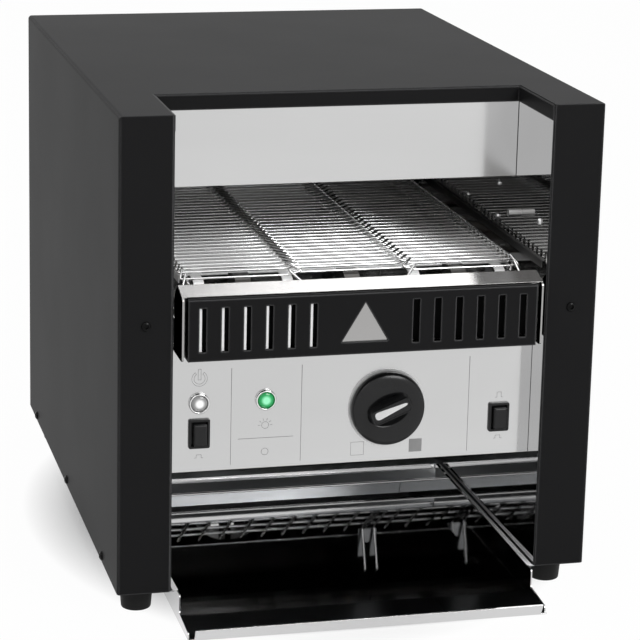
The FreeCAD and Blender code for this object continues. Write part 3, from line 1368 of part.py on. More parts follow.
def main():
    """Build and export every piece."""
    os.makedirs("parts", exist_ok=True)
    right = inner_wall()
    pieces = {
        "outer_casing": outer_casing(),
        "rear_panel": rear_panel(),
        "base_frame": base_frame(),
        "inner_wall_right": [right],
        "inner_wall_left": [mirror_x(right)],
        "hood_panel": hood_panel(),
        "control_panel": control_panel(),
        "control_box": control_box(),
        "guard_cover": guard_cover(),
        "guard_frame": guard_frame(),
        "bed_plate": bed_plate(),
        "wire_belt": wire_belt(),
        "drive_shaft": drive_shaft(),
        "drive_sprockets": drive_sprockets(),
        "idler_shaft": idler_shaft(),
        "idler_rollers": idler_rollers(),
        "shaft_bushes": shaft_bushes(),
        "gearmotor": gearmotor(),
        "upper_heaters": heater_tubes(UPPER_HEATER_Y, UPPER_HEATER_Z),
        "lower_heaters": heater_tubes(LOWER_HEATER_Y, LOWER_HEATER_Z),
        "heater_holders": heater_holders(),
        "upper_reflector": upper_reflector(),
        "lower_reflector": lower_reflector(),
        "rear_chute": rear_chute(),
        "wire_slide": wire_slide(),
        "stop_wires": stop_wires(),
        "slide_bracket": slide_bracket(),
        "toast_tray": toast_tray(),
        "lamp_bezels": [lamp_bezel(WHITE_LAMP_X), lamp_bezel(GREEN_LAMP_X)],
        "white_lens": lamp_lens(WHITE_LAMP_X),
        "green_lens": lamp_lens(GREEN_LAMP_X),
        "button_bezels": button_bezels(),
        "power_button_cap": button_cap(-1),
        "mode_button_cap": button_cap(1),
        "knob": knob(),
        "knob_pointer": [knob_turn(pointer_block(POINTER_T))],
        "knob_ring": knob_ring(),
        "knob_spindle": knob_spindle(),
        "browning_regulator": browning_regulator(),
        "fan_frame": fan_frame(),
        "fan_rotor": fan_rotor(),
        "cord_gland": cord_gland(),
        "terminal_block": terminal_block(),
        "control_board": control_board(),
        "side_screws": screws("side"),
        "pillar_screws": screws("pillar"),
        "rear_screws": screws("rear"),
        "wall_screws": wall_screws(),
        "feed_sensors": feed_sensors(),
    }
    for name, (x, y) in zip(("front_left", "front_right", "rear_left", "rear_right"), foot_places()):
        pieces[name + "_foot"] = [foot(x, y)]
    for name, solids in pieces.items():
        for solid in solids:
            if not solid.isValid() or solid.Volume <= 0 or len(solid.Solids) != 1:
                print("check", name, solid.isValid(), round(solid.Volume, 3), len(solid.Solids))
        export(name, solids)
    print(len(pieces), "nodes")


if __name__ == "__main__":
    main()
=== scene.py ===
"""Looks of a countertop conveyor toaster, laid out as a Blender add-on and run as a script."""
import math

import bmesh
import bpy
import numpy as np
from mathutils import Matrix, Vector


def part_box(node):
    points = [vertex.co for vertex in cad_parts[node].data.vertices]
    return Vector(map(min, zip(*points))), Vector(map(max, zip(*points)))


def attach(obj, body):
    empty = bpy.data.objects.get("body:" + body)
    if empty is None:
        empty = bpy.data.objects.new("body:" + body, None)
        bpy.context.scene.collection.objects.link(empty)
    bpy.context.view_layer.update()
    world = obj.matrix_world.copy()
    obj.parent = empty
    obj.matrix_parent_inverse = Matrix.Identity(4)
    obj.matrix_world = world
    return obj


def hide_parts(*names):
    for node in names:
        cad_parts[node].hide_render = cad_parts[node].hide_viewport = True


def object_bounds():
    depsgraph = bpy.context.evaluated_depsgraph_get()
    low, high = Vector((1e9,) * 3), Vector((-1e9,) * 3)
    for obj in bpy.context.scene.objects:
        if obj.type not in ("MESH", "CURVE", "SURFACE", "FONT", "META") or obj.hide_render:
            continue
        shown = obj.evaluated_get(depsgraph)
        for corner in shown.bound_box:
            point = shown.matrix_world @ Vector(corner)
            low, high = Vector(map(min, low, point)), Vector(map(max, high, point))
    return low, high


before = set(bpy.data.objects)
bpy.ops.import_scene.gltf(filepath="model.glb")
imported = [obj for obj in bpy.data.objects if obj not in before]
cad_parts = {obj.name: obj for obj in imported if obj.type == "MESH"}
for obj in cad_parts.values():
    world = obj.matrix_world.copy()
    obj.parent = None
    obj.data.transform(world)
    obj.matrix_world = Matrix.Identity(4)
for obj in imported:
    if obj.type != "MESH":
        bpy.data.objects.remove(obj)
cad_low, cad_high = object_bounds()

bl_info = {
    "name": "Conveyor toaster",
    "version": (1, 0, 0),
    "blender": (4, 5, 0),
    "location": "View3D > Sidebar > Toaster",
    "description": "Finishes and fine pieces of a countertop conveyor toaster",
    "category": "Object",
}

MM = 0.001
TAU = 2 * math.pi
MERGE = 1e-6  # points closer than this become one
LONGEST_REACH = 0.45  # share of a side that a rounded corner may take
FORWARD = (0, -1, 0)  # out of the front panel
COAT_EDGE, SHEET_EDGE, TURNED_EDGE = 1.7 * MM, 0.4 * MM, 0.3 * MM  # radii seen on sharp edges
BEVEL_SAMPLES = 4
DENT = 0.1 * MM  # full depth of a skin's bump


def length(name, description, value):
    """A length property with its default in metres."""
    return bpy.props.FloatProperty(name=name, description=description, default=value, unit="LENGTH")


def count(name, description, value):
    """A whole-number property with its default."""
    return bpy.props.IntProperty(name=name, description=description, default=value)


def colour(name, value):
    """A colour property with its default."""
    text = "Base colour of " + name.lower()
    return bpy.props.FloatVectorProperty(
        name=name, description=text, subtype="COLOR", size=3, min=0, max=1, default=value
    )


class ToasterSizes(bpy.types.PropertyGroup):
    """Sizes that a user would change, in metres."""

    wire: length("Belt wire", "Diameter of the belt wire", 1.8 * MM)
    pitch: length("Belt pitch", "Strand to strand", 10 * MM)
    teeth: count("Sprocket teeth", "Belt pitches round a full turn", 12)
    spans: count("Span pitches", "Belt pitches between the shafts", 34)
    knob_dome: length("Knob dome", "Height of the dome", 9 * MM)
    pointer_angle: bpy.props.FloatProperty(
        name="Pointer angle", description="Knob angle at rest", default=math.radians(22), subtype="ANGLE"
    )
    line_width: length("Engraved line", "Width of the engraved lines", 0.45 * MM)
    slide_wire: length("Slide wire", "Diameter of the slide's wires", 2.6 * MM)


class ToasterColours(bpy.types.PropertyGroup):
    """Base colours of the finishes."""

    powder: colour("Powder coat", (0.013, 0.013, 0.0135))
    satin: colour("Satin steel", (0.59, 0.59, 0.59))
    mirror: colour("Mirror steel", (0.62, 0.62, 0.622))
    plastic: colour("Black plastic", (0.008, 0.008, 0.0085))
    rubber: colour("Rubber", (0.012, 0.012, 0.012))
    green: colour("Green lens", (0.0, 0.20, 0.05))
    clear: colour("White lens", (0.24, 0.24, 0.24))
    mark: colour("Engraved marks", (0.27, 0.27, 0.27))
    floor: colour("Floor", (0.93, 0.93, 0.93))


def sizes():
    """The scene's sizes."""
    return bpy.context.scene.toaster_sizes


def colours():
    """The scene's colours."""
    return bpy.context.scene.toaster_colours


# Mesh building


def grid_quads(rows, columns, wrap_rows=False, wrap_columns=False):
    """Quads of a rows by columns grid of points, numbered row by row, closed where asked."""
    i = np.arange(rows if wrap_rows else rows - 1)[:, None]
    j = np.arange(columns if wrap_columns else columns - 1)[None, :]
    a = i * columns + j
    b = i * columns + (j + 1) % columns
    c = ((i + 1) % rows) * columns + (j + 1) % columns
    d = ((i + 1) % rows) * columns + j
    return np.stack([a, b, c, d], -1).reshape(-1, 4)


def end_caps(rows, columns):
    """The two faces that close a grid of rings at its first and last row, both facing out."""
    return [list(range(columns))[::-1], list(range((rows - 1) * columns, rows * columns))]


def make_mesh(name, points, faces):
    """A mesh from an array of points and a list of faces, doubles merged and normals turned outward."""
    mesh = bpy.data.meshes.new(name)
    points = np.asarray(points).reshape(-1, 3).tolist()
    mesh.from_pydata(points, [], [list(map(int, f)) for f in faces])
    work = bmesh.new()
    work.from_mesh(mesh)
    bmesh.ops.remove_doubles(work, verts=work.verts, dist=MERGE)
    bmesh.ops.dissolve_degenerate(work, edges=work.edges, dist=1e-7)
    bmesh.ops.recalc_face_normals(work, faces=work.faces)
    work.to_mesh(mesh)
    work.free()
    return mesh


def smooth(mesh, angle=35):
    """Smooth shading, with edges sharper than an angle in degrees left sharp."""
    mesh.shade_smooth()
    work = bmesh.new()
    work.from_mesh(mesh)
    limit = math.radians(angle)
    for edge in work.edges:
        edge.smooth = len(edge.link_faces) == 2 and edge.calc_face_angle(0) < limit
    work.to_mesh(mesh)
    work.free()


def piece(name, shells, material, body, nodes=(), angle=35):
    """A finished piece from shells of (points, faces), riding on a body and standing for CAD nodes."""
    points, faces, count = [], [], 0
    for shell_points, shell_faces in shells:
        shell_points = np.asarray(shell_points, float).reshape(-1, 3)
        points.append(shell_points)
        faces += [[int(k) + count for k in f] for f in shell_faces]
        count += len(shell_points)
    mesh = make_mesh(name, np.vstack(points), faces)
    smooth(mesh, angle)
    mesh.materials.append(material)
    obj = bpy.data.objects.new(name, mesh)
    bpy.context.scene.collection.objects.link(obj)
    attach(obj, body)
    if nodes:
        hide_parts(*nodes)
    return obj


def round_path(points, reach, steps=3):
    """A path whose corners become parabolas: (1-t)^2 a + 2t(1-t) b + t^2 c, where a and c lie at a reach from
    corner b, at most 0.45 of the way to the next one."""
    points = np.asarray(points, float)
    t = np.linspace(0, 1, steps + 1)[:, None]
    found = [points[:1]]
    for before, corner, after in zip(points, points[1:], points[2:]):
        one = before - corner
        two = after - corner
        near = corner + one * min(reach / np.linalg.norm(one), LONGEST_REACH)
        far = corner + two * min(reach / np.linalg.norm(two), LONGEST_REACH)
        found.append((1 - t) ** 2 * near + 2 * t * (1 - t) * corner + t**2 * far)
    found.append(points[-1:])
    return np.vstack(found)


def tube(path, radius, sides=8, closed=False):
    """A round tube: p(u, v) = path(u) + r cos v n(u) + r sin v b(u), its n and b carried along the path."""
    path = np.asarray(path, float)
    ways = np.diff(path, axis=0)
    ways /= np.linalg.norm(ways, axis=1)[:, None]
    tangents = np.vstack([ways[:1], ways[:-1] + ways[1:], ways[-1:]])
    tangents /= np.linalg.norm(tangents, axis=1)[:, None]
    start = aside(tangents[0])
    normals = [start / np.linalg.norm(start)]
    for tangent in tangents[1:]:
        side = normals[-1] - tangent * normals[-1].dot(tangent)
        normals.append(side / np.linalg.norm(side))
    normals = np.array(normals)
    across = np.cross(tangents, normals)
    v = np.arange(sides) / sides * TAU
    ring = np.cos(v)[None, :, None] * normals[:, None] + np.sin(v)[None, :, None] * across[:, None]
    points = path[:, None] + radius * ring
    rows = len(path)
    faces = grid_quads(rows, sides, wrap_rows=closed, wrap_columns=True).tolist()
    if not closed:
        faces += end_caps(rows, sides)
    return points.reshape(-1, 3), faces


def aside(way):
    """A direction square to a way: its cross product with Z, or with X where the way is steep."""
    return np.cross(way, [0, 0, 1] if abs(way[2]) < 0.9 else [1, 0, 0])


def circle(axis, sides):
    """Unit directions round an axis: cos v e1 + sin v e2, with e1 and e2 square to the axis."""
    e1 = aside(axis)
    e1 = e1 / np.linalg.norm(e1)
    e2 = np.cross(axis, e1)
    v = np.arange(sides) / sides * TAU
    return np.cos(v)[:, None] * e1 + np.sin(v)[:, None] * e2


def lathe(profile, origin, axis, sides=48):
    """A turned body: p(u, v) = origin + z(u) axis + r(u) (cos v e1 + sin v e2), with a profile of (r, z)."""
    axis = np.asarray(axis, float) / np.linalg.norm(axis)
    ring = circle(axis, sides)
    profile = np.asarray(profile, float)
    reach, height = profile.T[:, :, None, None]
    points = np.asarray(origin) + height * axis + reach * ring
    wrap = bool(profile[0, 0] > 0 and profile[-1, 0] > 0)
    faces = grid_quads(len(profile), sides, wrap_rows=wrap, wrap_columns=True).tolist()
    return points.reshape(-1, 3), faces


def soft_profile(corners, reach, steps=3):
    """A lathe profile whose inner corners are rounded, in the half plane (r, z)."""
    flat = [(r, z, 0) for r, z in corners]
    return round_path(flat, reach, steps)[:, :2]


def rounded_ring(width, height, corner, steps=6):
    """A rounded rectangle in (a, b) about the middle: four quarter circles of the corner radius."""
    t = np.linspace(0, math.pi / 2, steps + 1)
    found = []
    for quarter, (sa, sb) in enumerate(((1, 1), (-1, 1), (-1, -1), (1, -1))):
        angle = t + quarter * math.pi / 2
        a = sa * (width / 2 - corner) + corner * np.cos(angle)
        b = sb * (height / 2 - corner) + corner * np.sin(angle)
        found.append(np.stack([a, b], -1))
    return np.vstack(found)


def loft(rings):
    """A closed body through rings of equal count, its two ends capped."""
    rings = np.asarray(rings, float)
    rows, columns = rings.shape[:2]
    faces = grid_quads(rows, columns, False, True).tolist() + end_caps(rows, columns)
    return rings.reshape(-1, 3), faces


def facing(ring, x, y, z):
    """A ring of (a, b) pairs set in a plane that faces the front, at x, y, z."""
    return np.stack([x + ring[:, 0], np.full(len(ring), y), z + ring[:, 1]], -1)


def plate(width, height, corner, x, z, depths):
    """An upright plate: a rounded rectangle that faces the front, drawn out between two depths."""
    ring = rounded_ring(width, height, corner)
    return loft([facing(ring, x, y, z) for y in depths])


def middle(node):
    """The middle of a node's box."""
    low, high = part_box(node)
    return (np.array(low) + np.array(high)) / 2


def split_boxes(node):
    """The box of each separate solid of a CAD node, found by its connected faces."""
    work = bmesh.new()
    work.from_mesh(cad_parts[node].data)
    bmesh.ops.remove_doubles(work, verts=work.verts, dist=MERGE)
    left = set(work.verts)
    found = []
    while left:
        queue = [left.pop()]
        group = list(queue)
        while queue:
            for edge in queue.pop().link_edges:
                for vert in edge.verts:
                    if vert in left:
                        left.remove(vert)
                        queue.append(vert)
                        group.append(vert)
        spots = np.array([v.co[:] for v in group])
        found.append((spots.min(0), spots.max(0)))
    work.free()
    return sorted(found, key=lambda b: tuple(b[0].round(5)))


# Shared effects as node groups


def group(name, grain):
    """A skin's node group, from Vector and Grain to Value, Mask and Height, built once."""
    if name in bpy.data.node_groups:
        return bpy.data.node_groups[name]
    tree = bpy.data.node_groups.new(name, "ShaderNodeTree")
    sockets = tree.interface
    sockets.new_socket("Vector", in_out="INPUT", socket_type="NodeSocketVector")
    sockets.new_socket("Grain", in_out="INPUT", socket_type="NodeSocketFloat").default_value = grain
    enter = tree.nodes.new("NodeGroupInput").outputs
    leave = tree.nodes.new("NodeGroupOutput").inputs
    for key, result in zip(("Value", "Mask", "Height"), BUILDERS[name](tree, *enter[:2])):
        sockets.new_socket(key, in_out="OUTPUT", socket_type="NodeSocketFloat")
        tree.links.new(result, leave[key])
    return tree


def add_node(tree, kind, inputs=(), **settings):
    """A node of a kind with its settings and inputs: a socket is linked, and anything else is set."""
    node = tree.nodes.new("ShaderNode" + kind)
    for key, value in settings.items():
        setattr(node, key, value)
    for key, value in dict(inputs).items():
        if isinstance(value, bpy.types.NodeSocket):
            tree.links.new(value, node.inputs[key])
        else:
            node.inputs[key].default_value = value
    return node


def noise(tree, vector, scale, detail=2.0, rough=0.5):
    """A noise texture on a vector."""
    inputs = {"Vector": vector, "Scale": scale, "Detail": detail, "Roughness": rough}
    return add_node(tree, "TexNoise", inputs).outputs["Fac"]


def vector_sum(tree, operation, first, second):
    """The node for one step of arithmetic on vectors."""
    return add_node(tree, "VectorMath", {0: first, 1: second}, operation=operation)


def stretch(tree, vector, factors):
    """A vector scaled along each axis."""
    return vector_sum(tree, "MULTIPLY", vector, factors).outputs[0]


def number_sum(tree, operation, first, second=0.0):
    """One step of arithmetic on numbers."""
    return add_node(tree, "Math", {0: first, 1: second}, operation=operation).outputs[0]


def remap(tree, value, low, high, to_low=0.0, to_high=1.0):
    """A value taken from one range to another, clamped."""
    inputs = {"Value": value, "From Min": low, "From Max": high, "To Min": to_low, "To Max": to_high}
    return add_node(tree, "MapRange", inputs).outputs["Result"]


def ball(tree, vector):
    """A value that falls from 1 at the middle of a vector's space to 0 at a distance of 1."""
    return add_node(tree, "TexGradient", {"Vector": vector}, gradient_type="SPHERICAL").outputs["Fac"]


def own_place(tree):
    """The socket of a piece's own coordinates."""
    return add_node(tree, "TexCoord").outputs["Object"]


def true_normal(tree):
    """The socket of a face's own direction."""
    return add_node(tree, "NewGeometry").outputs["True Normal"]


def build_powder(tree, vector, grain):
    """Orange-peel skin of a powder coat: slow cloud in Value, dust specks in Mask, fine cells in Height."""
    cloud = noise(tree, vector, 9.0, 3.0, 0.55)
    specks = noise(tree, vector, 420.0, 1.0, 0.4)
    fine = noise(tree, vector, grain, 3.0, 0.6)
    return remap(tree, cloud, 0.3, 0.7), remap(tree, specks, 0.70, 0.78), fine


def build_brushed(tree, vector, grain):
    """Brushed sheet: slow bands in Value, faint smudges in Mask, lines drawn out along X in Height."""
    bands = noise(tree, stretch(tree, vector, (2.0, 14.0, 14.0)), 1.0, 2.0, 0.5)
    smudge = noise(tree, vector, 16.0, 4.0, 0.6)
    lines = noise(tree, stretch(tree, vector, (6.0, 900.0, 900.0)), grain, 3.0, 0.7)
    return remap(tree, bands, 0.3, 0.7), remap(tree, smudge, 0.52, 0.72), lines


def build_mould(tree, vector, grain):
    """Moulded or cast skin: slow cloud in Value, scuffs in Mask, fine sparkle in Height."""
    cloud = noise(tree, vector, 40.0, 2.0, 0.5)
    scuff = noise(tree, stretch(tree, vector, (90.0, 300.0, 160.0)), 1.0, 3.0, 0.6)
    fine = noise(tree, vector, grain, 2.0, 0.5)
    return remap(tree, cloud, 0.3, 0.7), remap(tree, scuff, 0.60, 0.72), fine


BUILDERS = {"powder_skin": build_powder, "brushed_skin": build_brushed, "moulded_skin": build_mould}


def finish(name, skin, base, metallic, roughness, grain, bump, shade=0.06, spread=0.05, edge=0.0):
    """A material: the skin's cloud shades the base colour, its mask and cloud move the roughness, and its
    height makes the bump; edge is the radius over which sharp sheet edges are rounded in shading."""
    name += "_finish"
    if name in bpy.data.materials:
        return bpy.data.materials[name]
    material = bpy.data.materials.new(name)
    material.use_nodes = True
    tree = material.node_tree
    shader = tree.nodes["Principled BSDF"]
    inputs = {"Vector": own_place(tree), "Grain": grain}
    cloud, mask, height = add_node(tree, "Group", inputs, node_tree=group(skin, grain)).outputs
    ramp = add_node(tree, "ValToRGB", {"Fac": cloud})
    for element, factor in zip(ramp.color_ramp.elements, (1 - shade, 1 + shade)):
        element.color = [min(c * factor, 1) for c in base] + [1]
    smoothest, roughest = max(roughness - spread, 0.02), min(roughness + spread * 2, 1)
    rough = remap(tree, number_sum(tree, "ADD", cloud, mask), 0, 2, smoothest, roughest)
    dent = add_node(tree, "Bump", {"Strength": bump, "Distance": DENT, "Height": height})
    if edge:
        soften = add_node(tree, "Bevel", {"Radius": edge}, samples=BEVEL_SAMPLES)
        tree.links.new(soften.outputs["Normal"], dent.inputs["Normal"])
    found = {"Base Color": ramp.outputs["Color"], "Roughness": rough, "Normal": dent.outputs["Normal"]}
    for key, socket in found.items():
        tree.links.new(socket, shader.inputs[key])
    shader.inputs["Metallic"].default_value = metallic
    return material


def blend_base(material, factor, tint):
    """Mixes a tint into a material's base colour by a factor."""
    tree = material.node_tree
    base = tree.nodes["Principled BSDF"].inputs["Base Color"]
    inputs = {"Factor": factor, 6: base.links[0].from_socket, 7: (*tint, 1)}
    tree.links.new(add_node(tree, "Mix", inputs, data_type="RGBA").outputs[2], base)


def glow(material, low, high, dim, half, lit, strength):
    """A lit lens: emission that brightens from its rim to its middle, by the distance from the lens's centre
    in object coordinates, through a spherical gradient and three colours."""
    tree = material.node_tree
    shader = tree.nodes["Principled BSDF"]
    centre = (np.array(low) + np.array(high)) / 2
    shift = vector_sum(tree, "SUBTRACT", own_place(tree), centre).outputs[0]
    size = 2 / (high[0] - low[0])
    ramp = add_node(tree, "ValToRGB", {"Fac": ball(tree, stretch(tree, shift, (size, size, size)))})
    ramp.color_ramp.elements[0].color = list(dim) + [1]
    ramp.color_ramp.elements[1].color = list(lit) + [1]
    ramp.color_ramp.elements[1].position = 0.62
    ramp.color_ramp.elements.new(0.34).color = list(half) + [1]
    tree.links.new(ramp.outputs["Color"], shader.inputs["Emission Color"])
    shader.inputs["Emission Strength"].default_value = strength
    return material


def dulled(material, level):
    """Sets how strongly a black skin mirrors: the level scales its reflection seen square on."""
    material.node_tree.nodes["Principled BSDF"].inputs["Specular IOR Level"].default_value = level
    return material


def lit_edges(material, tint):
    """Paints a highlight into a coat's base colour where it bends round a sheet's edge: as the rounded normal
    parts from the face's own, g falls from 1 to 0 and the tint's share is 1 - g^3."""
    tree = material.node_tree
    if "Mix" in tree.nodes:
        return material
    turn = vector_sum(tree, "DOT_PRODUCT", tree.nodes["Bevel"].outputs["Normal"], true_normal(tree))
    cube = number_sum(tree, "POWER", remap(tree, turn.outputs["Value"], 0.985, 0.85, 1, 0), 3)
    blend_base(material, remap(tree, cube, 0, 1, 1, 0), tint)
    return material


def black_powder():
    """Fine black powder coat on the casing and guard, with a highlight painted along its sheet edges."""
    # tint is the lighter colour of the highlight painted along the sheet edges
    base, tint = colours().powder, (0.11, 0.11, 0.112)
    material = finish("black_powder", "powder_skin", base, 0.0, 0.46, 900.0, 0.16, 0.04, 0.015, COAT_EDGE)
    return lit_edges(dulled(material, 0.03), tint)


def steel(name, base, roughness, bump, shade, spread, edge=SHEET_EDGE, metallic=1.0):
    """A brushed metal, its sheet edges rounded in shading."""
    return finish(name, "brushed_skin", base, metallic, roughness, 1.0, bump, shade, spread, edge)


def grey(value):
    """A neutral colour."""
    return (value, value, value)


def satin(name, colour):
    """Satin stainless steel brushed along X: reflections spread up and down, along the cross product of the
    face's normal with the X axis."""
    material = steel(name, colour, 0.17, 0.01, 0.03, 0.02)
    tree = material.node_tree
    shader = tree.nodes["Principled BSDF"]
    shader.inputs["Anisotropic"].default_value = 0.85
    cross = vector_sum(tree, "CROSS_PRODUCT", true_normal(tree), (1, 0, 0))
    tree.links.new(cross.outputs[0], shader.inputs["Tangent"])
    return material


def satin_steel():
    """Satin steel of the hood and the control panel."""
    return satin("satin_steel", colours().satin)


def shaded_guard_steel():
    """Satin steel of the guard's frame, its base colour darkened as painted shade, so that the frame and its
    slots read dark.
    """
    # the darker grey base colour is painted shade
    return satin("shaded_guard_steel", (0.385, 0.38, 0.375))


def mirror_steel():
    """Mirror-polished steel of the tray."""
    return steel("mirror_steel", colours().mirror, 0.035, 0.0, 0.02, 0.012)


def wall_steel():
    """The inner walls' mirror steel, darker in a grey band beside the belt, between the guard's top and the
    hood's foot.
    """
    material = steel("wall_steel", colours().mirror, 0.035, 0.0, 0.02, 0.012)
    tree = material.node_tree
    low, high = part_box("guard_frame")[1][2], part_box("hood_panel")[0][2]
    height = add_node(tree, "SeparateXYZ", {0: own_place(tree)}).outputs["Z"]
    away = number_sum(tree, "ABSOLUTE", number_sum(tree, "SUBTRACT", height, (low + high) / 2))
    half = (high - low) / 2
    dark_band = remap(tree, away, half + 2 * MM, half - 4 * MM)
    # darkens the base colour inside that band
    blend_base(material, dark_band, (0.27, 0.265, 0.26))
    return material


def highlight_white():
    """Plain near-white matte colour, painted on the strips on the tray's flanges and on the slots' cut edges
    as a highlight.
    """
    # a near-white matte colour that paints a highlight where these strips and edges stand
    return steel("highlight_white", grey(0.92), 0.5, 0.01, 0.04, 0.04, 0.0, 0.0)


def bright_steel():
    """Bright annealed steel of the reflectors, the chute and the bridge's edge."""
    return steel("bright_steel", grey(0.82), 0.15, 0.006, 0.03, 0.03)


def bed_steel():
    """Dulled steel of the bed under the belt, which scatters more light than it mirrors."""
    return steel("bed_steel", grey(0.84), 0.34, 0.01, 0.05, 0.05, metallic=0.45)


def belt_steel():
    """Drawn stainless wire."""
    return steel("belt_wire", grey(0.80), 0.20, 0.02, 0.05, 0.05, 0.0)


def galvanised():
    """Zinc-coated sheet of the parts inside."""
    skin, base = "moulded_skin", (0.42, 0.43, 0.44)
    return finish("galvanised", skin, base, 1.0, 0.38, 300.0, 0.05, 0.035, 0.03, SHEET_EDGE)


def turned_steel():
    """Turned steel of shafts and sprockets."""
    return steel("turned_steel", grey(0.60), 0.26, 0.03, 0.05, 0.05, TURNED_EDGE)


def browned_steel():
    """Turned steel browned by the heat, of the front shaft and its rollers."""
    return steel("browned_steel", (0.10, 0.097, 0.093), 0.36, 0.03, 0.10, 0.05, TURNED_EDGE)


def bronze():
    """Sintered bronze bushes."""
    return finish("bronze", "moulded_skin", (0.55, 0.36, 0.17), 1.0, 0.38, 800.0, 0.10, 0.08, 0.08)


def quartz():
    """Milky quartz heater tube."""
    return finish("quartz", "moulded_skin", (0.66, 0.64, 0.60), 0.0, 0.18, 200.0, 0.02, 0.05, 0.05)


def ceramic():
    """Steatite holders."""
    return finish("ceramic", "moulded_skin", (0.72, 0.68, 0.60), 0.0, 0.55, 600.0, 0.08, 0.06, 0.08)


def rubber():
    """Black rubber of the feet."""
    skin = finish("black_rubber", "moulded_skin", colours().rubber, 0.0, 0.62, 700.0, 0.12, 0.15, 0.08)
    return dulled(skin, 0.15)


def chrome():
    """Chrome rims of the lamps."""
    return steel("bezel_chrome", grey(0.78), 0.10, 0.01, 0.03, 0.03, 0.0)


def black_plastic():
    """Moulded black plastic with a light sheen."""
    base = colours().plastic
    skin = finish("black_plastic", "moulded_skin", base, 0.0, 0.36, 900.0, 0.06, 0.15, 0.06, TURNED_EDGE)
    return dulled(skin, 0.3)


def knob_black():
    """Smooth glossy black of the knob."""
    skin = finish("knob_black", "moulded_skin", colours().plastic, 0.0, 0.24, 500.0, 0.02, 0.12, 0.05)
    return dulled(skin, 0.3)


def pointer_metal():
    """Bright inlay of the knob's pointer."""
    return steel("pointer_metal", grey(0.74), 0.36, 0.02, 0.03, 0.05, 0.0, 0.3)


def black_screws():
    """Blackened screws."""
    skin = finish("black_screw", "moulded_skin", grey(0.003), 0.0, 0.28, 900.0, 0.03, 0.1, 0.04)
    return dulled(skin, 0.1)


def steel_screws():
    """Bright zinc-plated screws."""
    return finish("steel_screw", "moulded_skin", grey(0.62), 1.0, 0.26, 900.0, 0.04, 0.06, 0.06)


def motor_grey():
    """Grey lacquer of the gearmotor."""
    skin, base = "powder_skin", (0.16, 0.165, 0.17)
    return finish("motor_grey", skin, base, 0.2, 0.45, 700.0, 0.12, 0.08, 0.06, 0.6 * MM)


def circuit_green():
    """Solder mask of the control board."""
    return finish("circuit_green", "moulded_skin", (0.02, 0.12, 0.05), 0.0, 0.32, 400.0, 0.03, 0.1, 0.05)


def mark_grey():
    """Laser-etched marks on the panels."""
    return finish("etched_mark", "moulded_skin", colours().mark, 0.2, 0.6, 900.0, 0.02, 0.08, 0.08)


def white_lens():
    """Lit white lens."""
    material = finish("white_lens", "moulded_skin", colours().clear, 0.0, 0.10, 300.0, 0.01, 0.03, 0.03)
    low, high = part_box("white_lens")
    return glow(material, low, high, grey(0.02), grey(0.16), grey(1.0), 0.8)


def green_lens():
    """Lit green lens with a bright middle."""
    material = finish("green_lens", "moulded_skin", colours().green, 0.0, 0.12, 300.0, 0.01, 0.05, 0.03)
    low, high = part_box("green_lens")
    return glow(material, low, high, (0.0, 0.05, 0.01), (0.01, 0.30, 0.08), (0.42, 1.0, 0.66), 0.8)


class Step:
    """A step of the build, as an operator that calls build"""

    def execute(self, context):
        self.build(context.scene)
        return {"FINISHED"}


NODE_FINISH = {
    black_powder: ("outer_casing", "guard_cover", "rear_panel"),
    satin_steel: ("hood_panel", "control_panel"),
    shaded_guard_steel: ("guard_frame",),
    mirror_steel: ("toast_tray",),
    wall_steel: ("inner_wall_right", "inner_wall_left"),
    bed_steel: ("bed_plate",),
    bright_steel: ("upper_reflector", "lower_reflector", "rear_chute", "slide_bracket"),
    galvanised: ("control_box", "base_frame"),
    turned_steel: ("drive_shaft", "drive_sprockets", "knob_spindle", "feed_sensors"),
    browned_steel: ("idler_shaft", "idler_rollers"),
    bronze: ("shaft_bushes",),
    quartz: ("upper_heaters", "lower_heaters"),
    ceramic: ("heater_holders",),
    black_plastic: ("fan_frame", "fan_rotor", "cord_gland", "terminal_block", "browning_regulator"),
    pointer_metal: ("knob_ring",),
    motor_grey: ("gearmotor",),
    circuit_green: ("control_board",),
    steel_screws: ("wall_screws",),
    black_screws: ("rear_screws",),
}


class TOASTER_OT_finishes(Step, bpy.types.Operator):
    """Gives every CAD piece that stays in view its finish"""

    bl_idname = "toaster.finishes"
    bl_label = "Finishes"

    def build(self, scene):
        for build, nodes in NODE_FINISH.items():
            material = build()
            for name in nodes:
                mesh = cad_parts[name].data
                mesh.materials.clear()
                mesh.materials.append(material)


def strand_path():
    """Half of a belt strand in mm: across, along the belt and outwards, with a zigzag at the lane and a hook
    at the edge that reaches over the next strand's bar."""
    pitch = sizes().pitch / MM
    lane, ahead, edge, lift = 44.33, pitch + 2.8, 132.2, 3.2
    zigzag = [(lane - 5, ahead, -1.2), (lane + 5, ahead, lift), (lane - 5, 0, lift), (lane + 5, 0, 0)]
    hook = [(edge - 4, ahead, lift), (edge - 4, ahead, -2.8), (edge - 7, pitch - 3, -2.8)]
    return zigzag + [(edge, 0, 0)] + hook


def hinge_loop():
    """The belt's closed loop in metres: the bars lie at pitch p on two straight runs, and on both shafts at
    angle 90 - k 360/teeth, radius p / (2 sin(180/teeth)), so that each bar is one pitch from the next."""
    s = sizes()
    pitch, teeth, spans = s.pitch, s.teeth, s.spans
    radius = pitch / (2 * math.sin(math.pi / teeth))
    _, front, z = middle("idler_shaft")
    rear = front + spans * pitch
    turn = np.radians(90 - np.arange(teeth // 2) * 360 / teeth)
    run = np.arange(spans) * pitch
    points = [(front + r, z + radius) for r in run]
    points += [(rear + radius * math.cos(a), z + radius * math.sin(a)) for a in turn]
    points += [(rear - r, z - radius) for r in run]
    points += [(front - radius * math.cos(a), z - radius * math.sin(a)) for a in turn]
    return np.array(points)


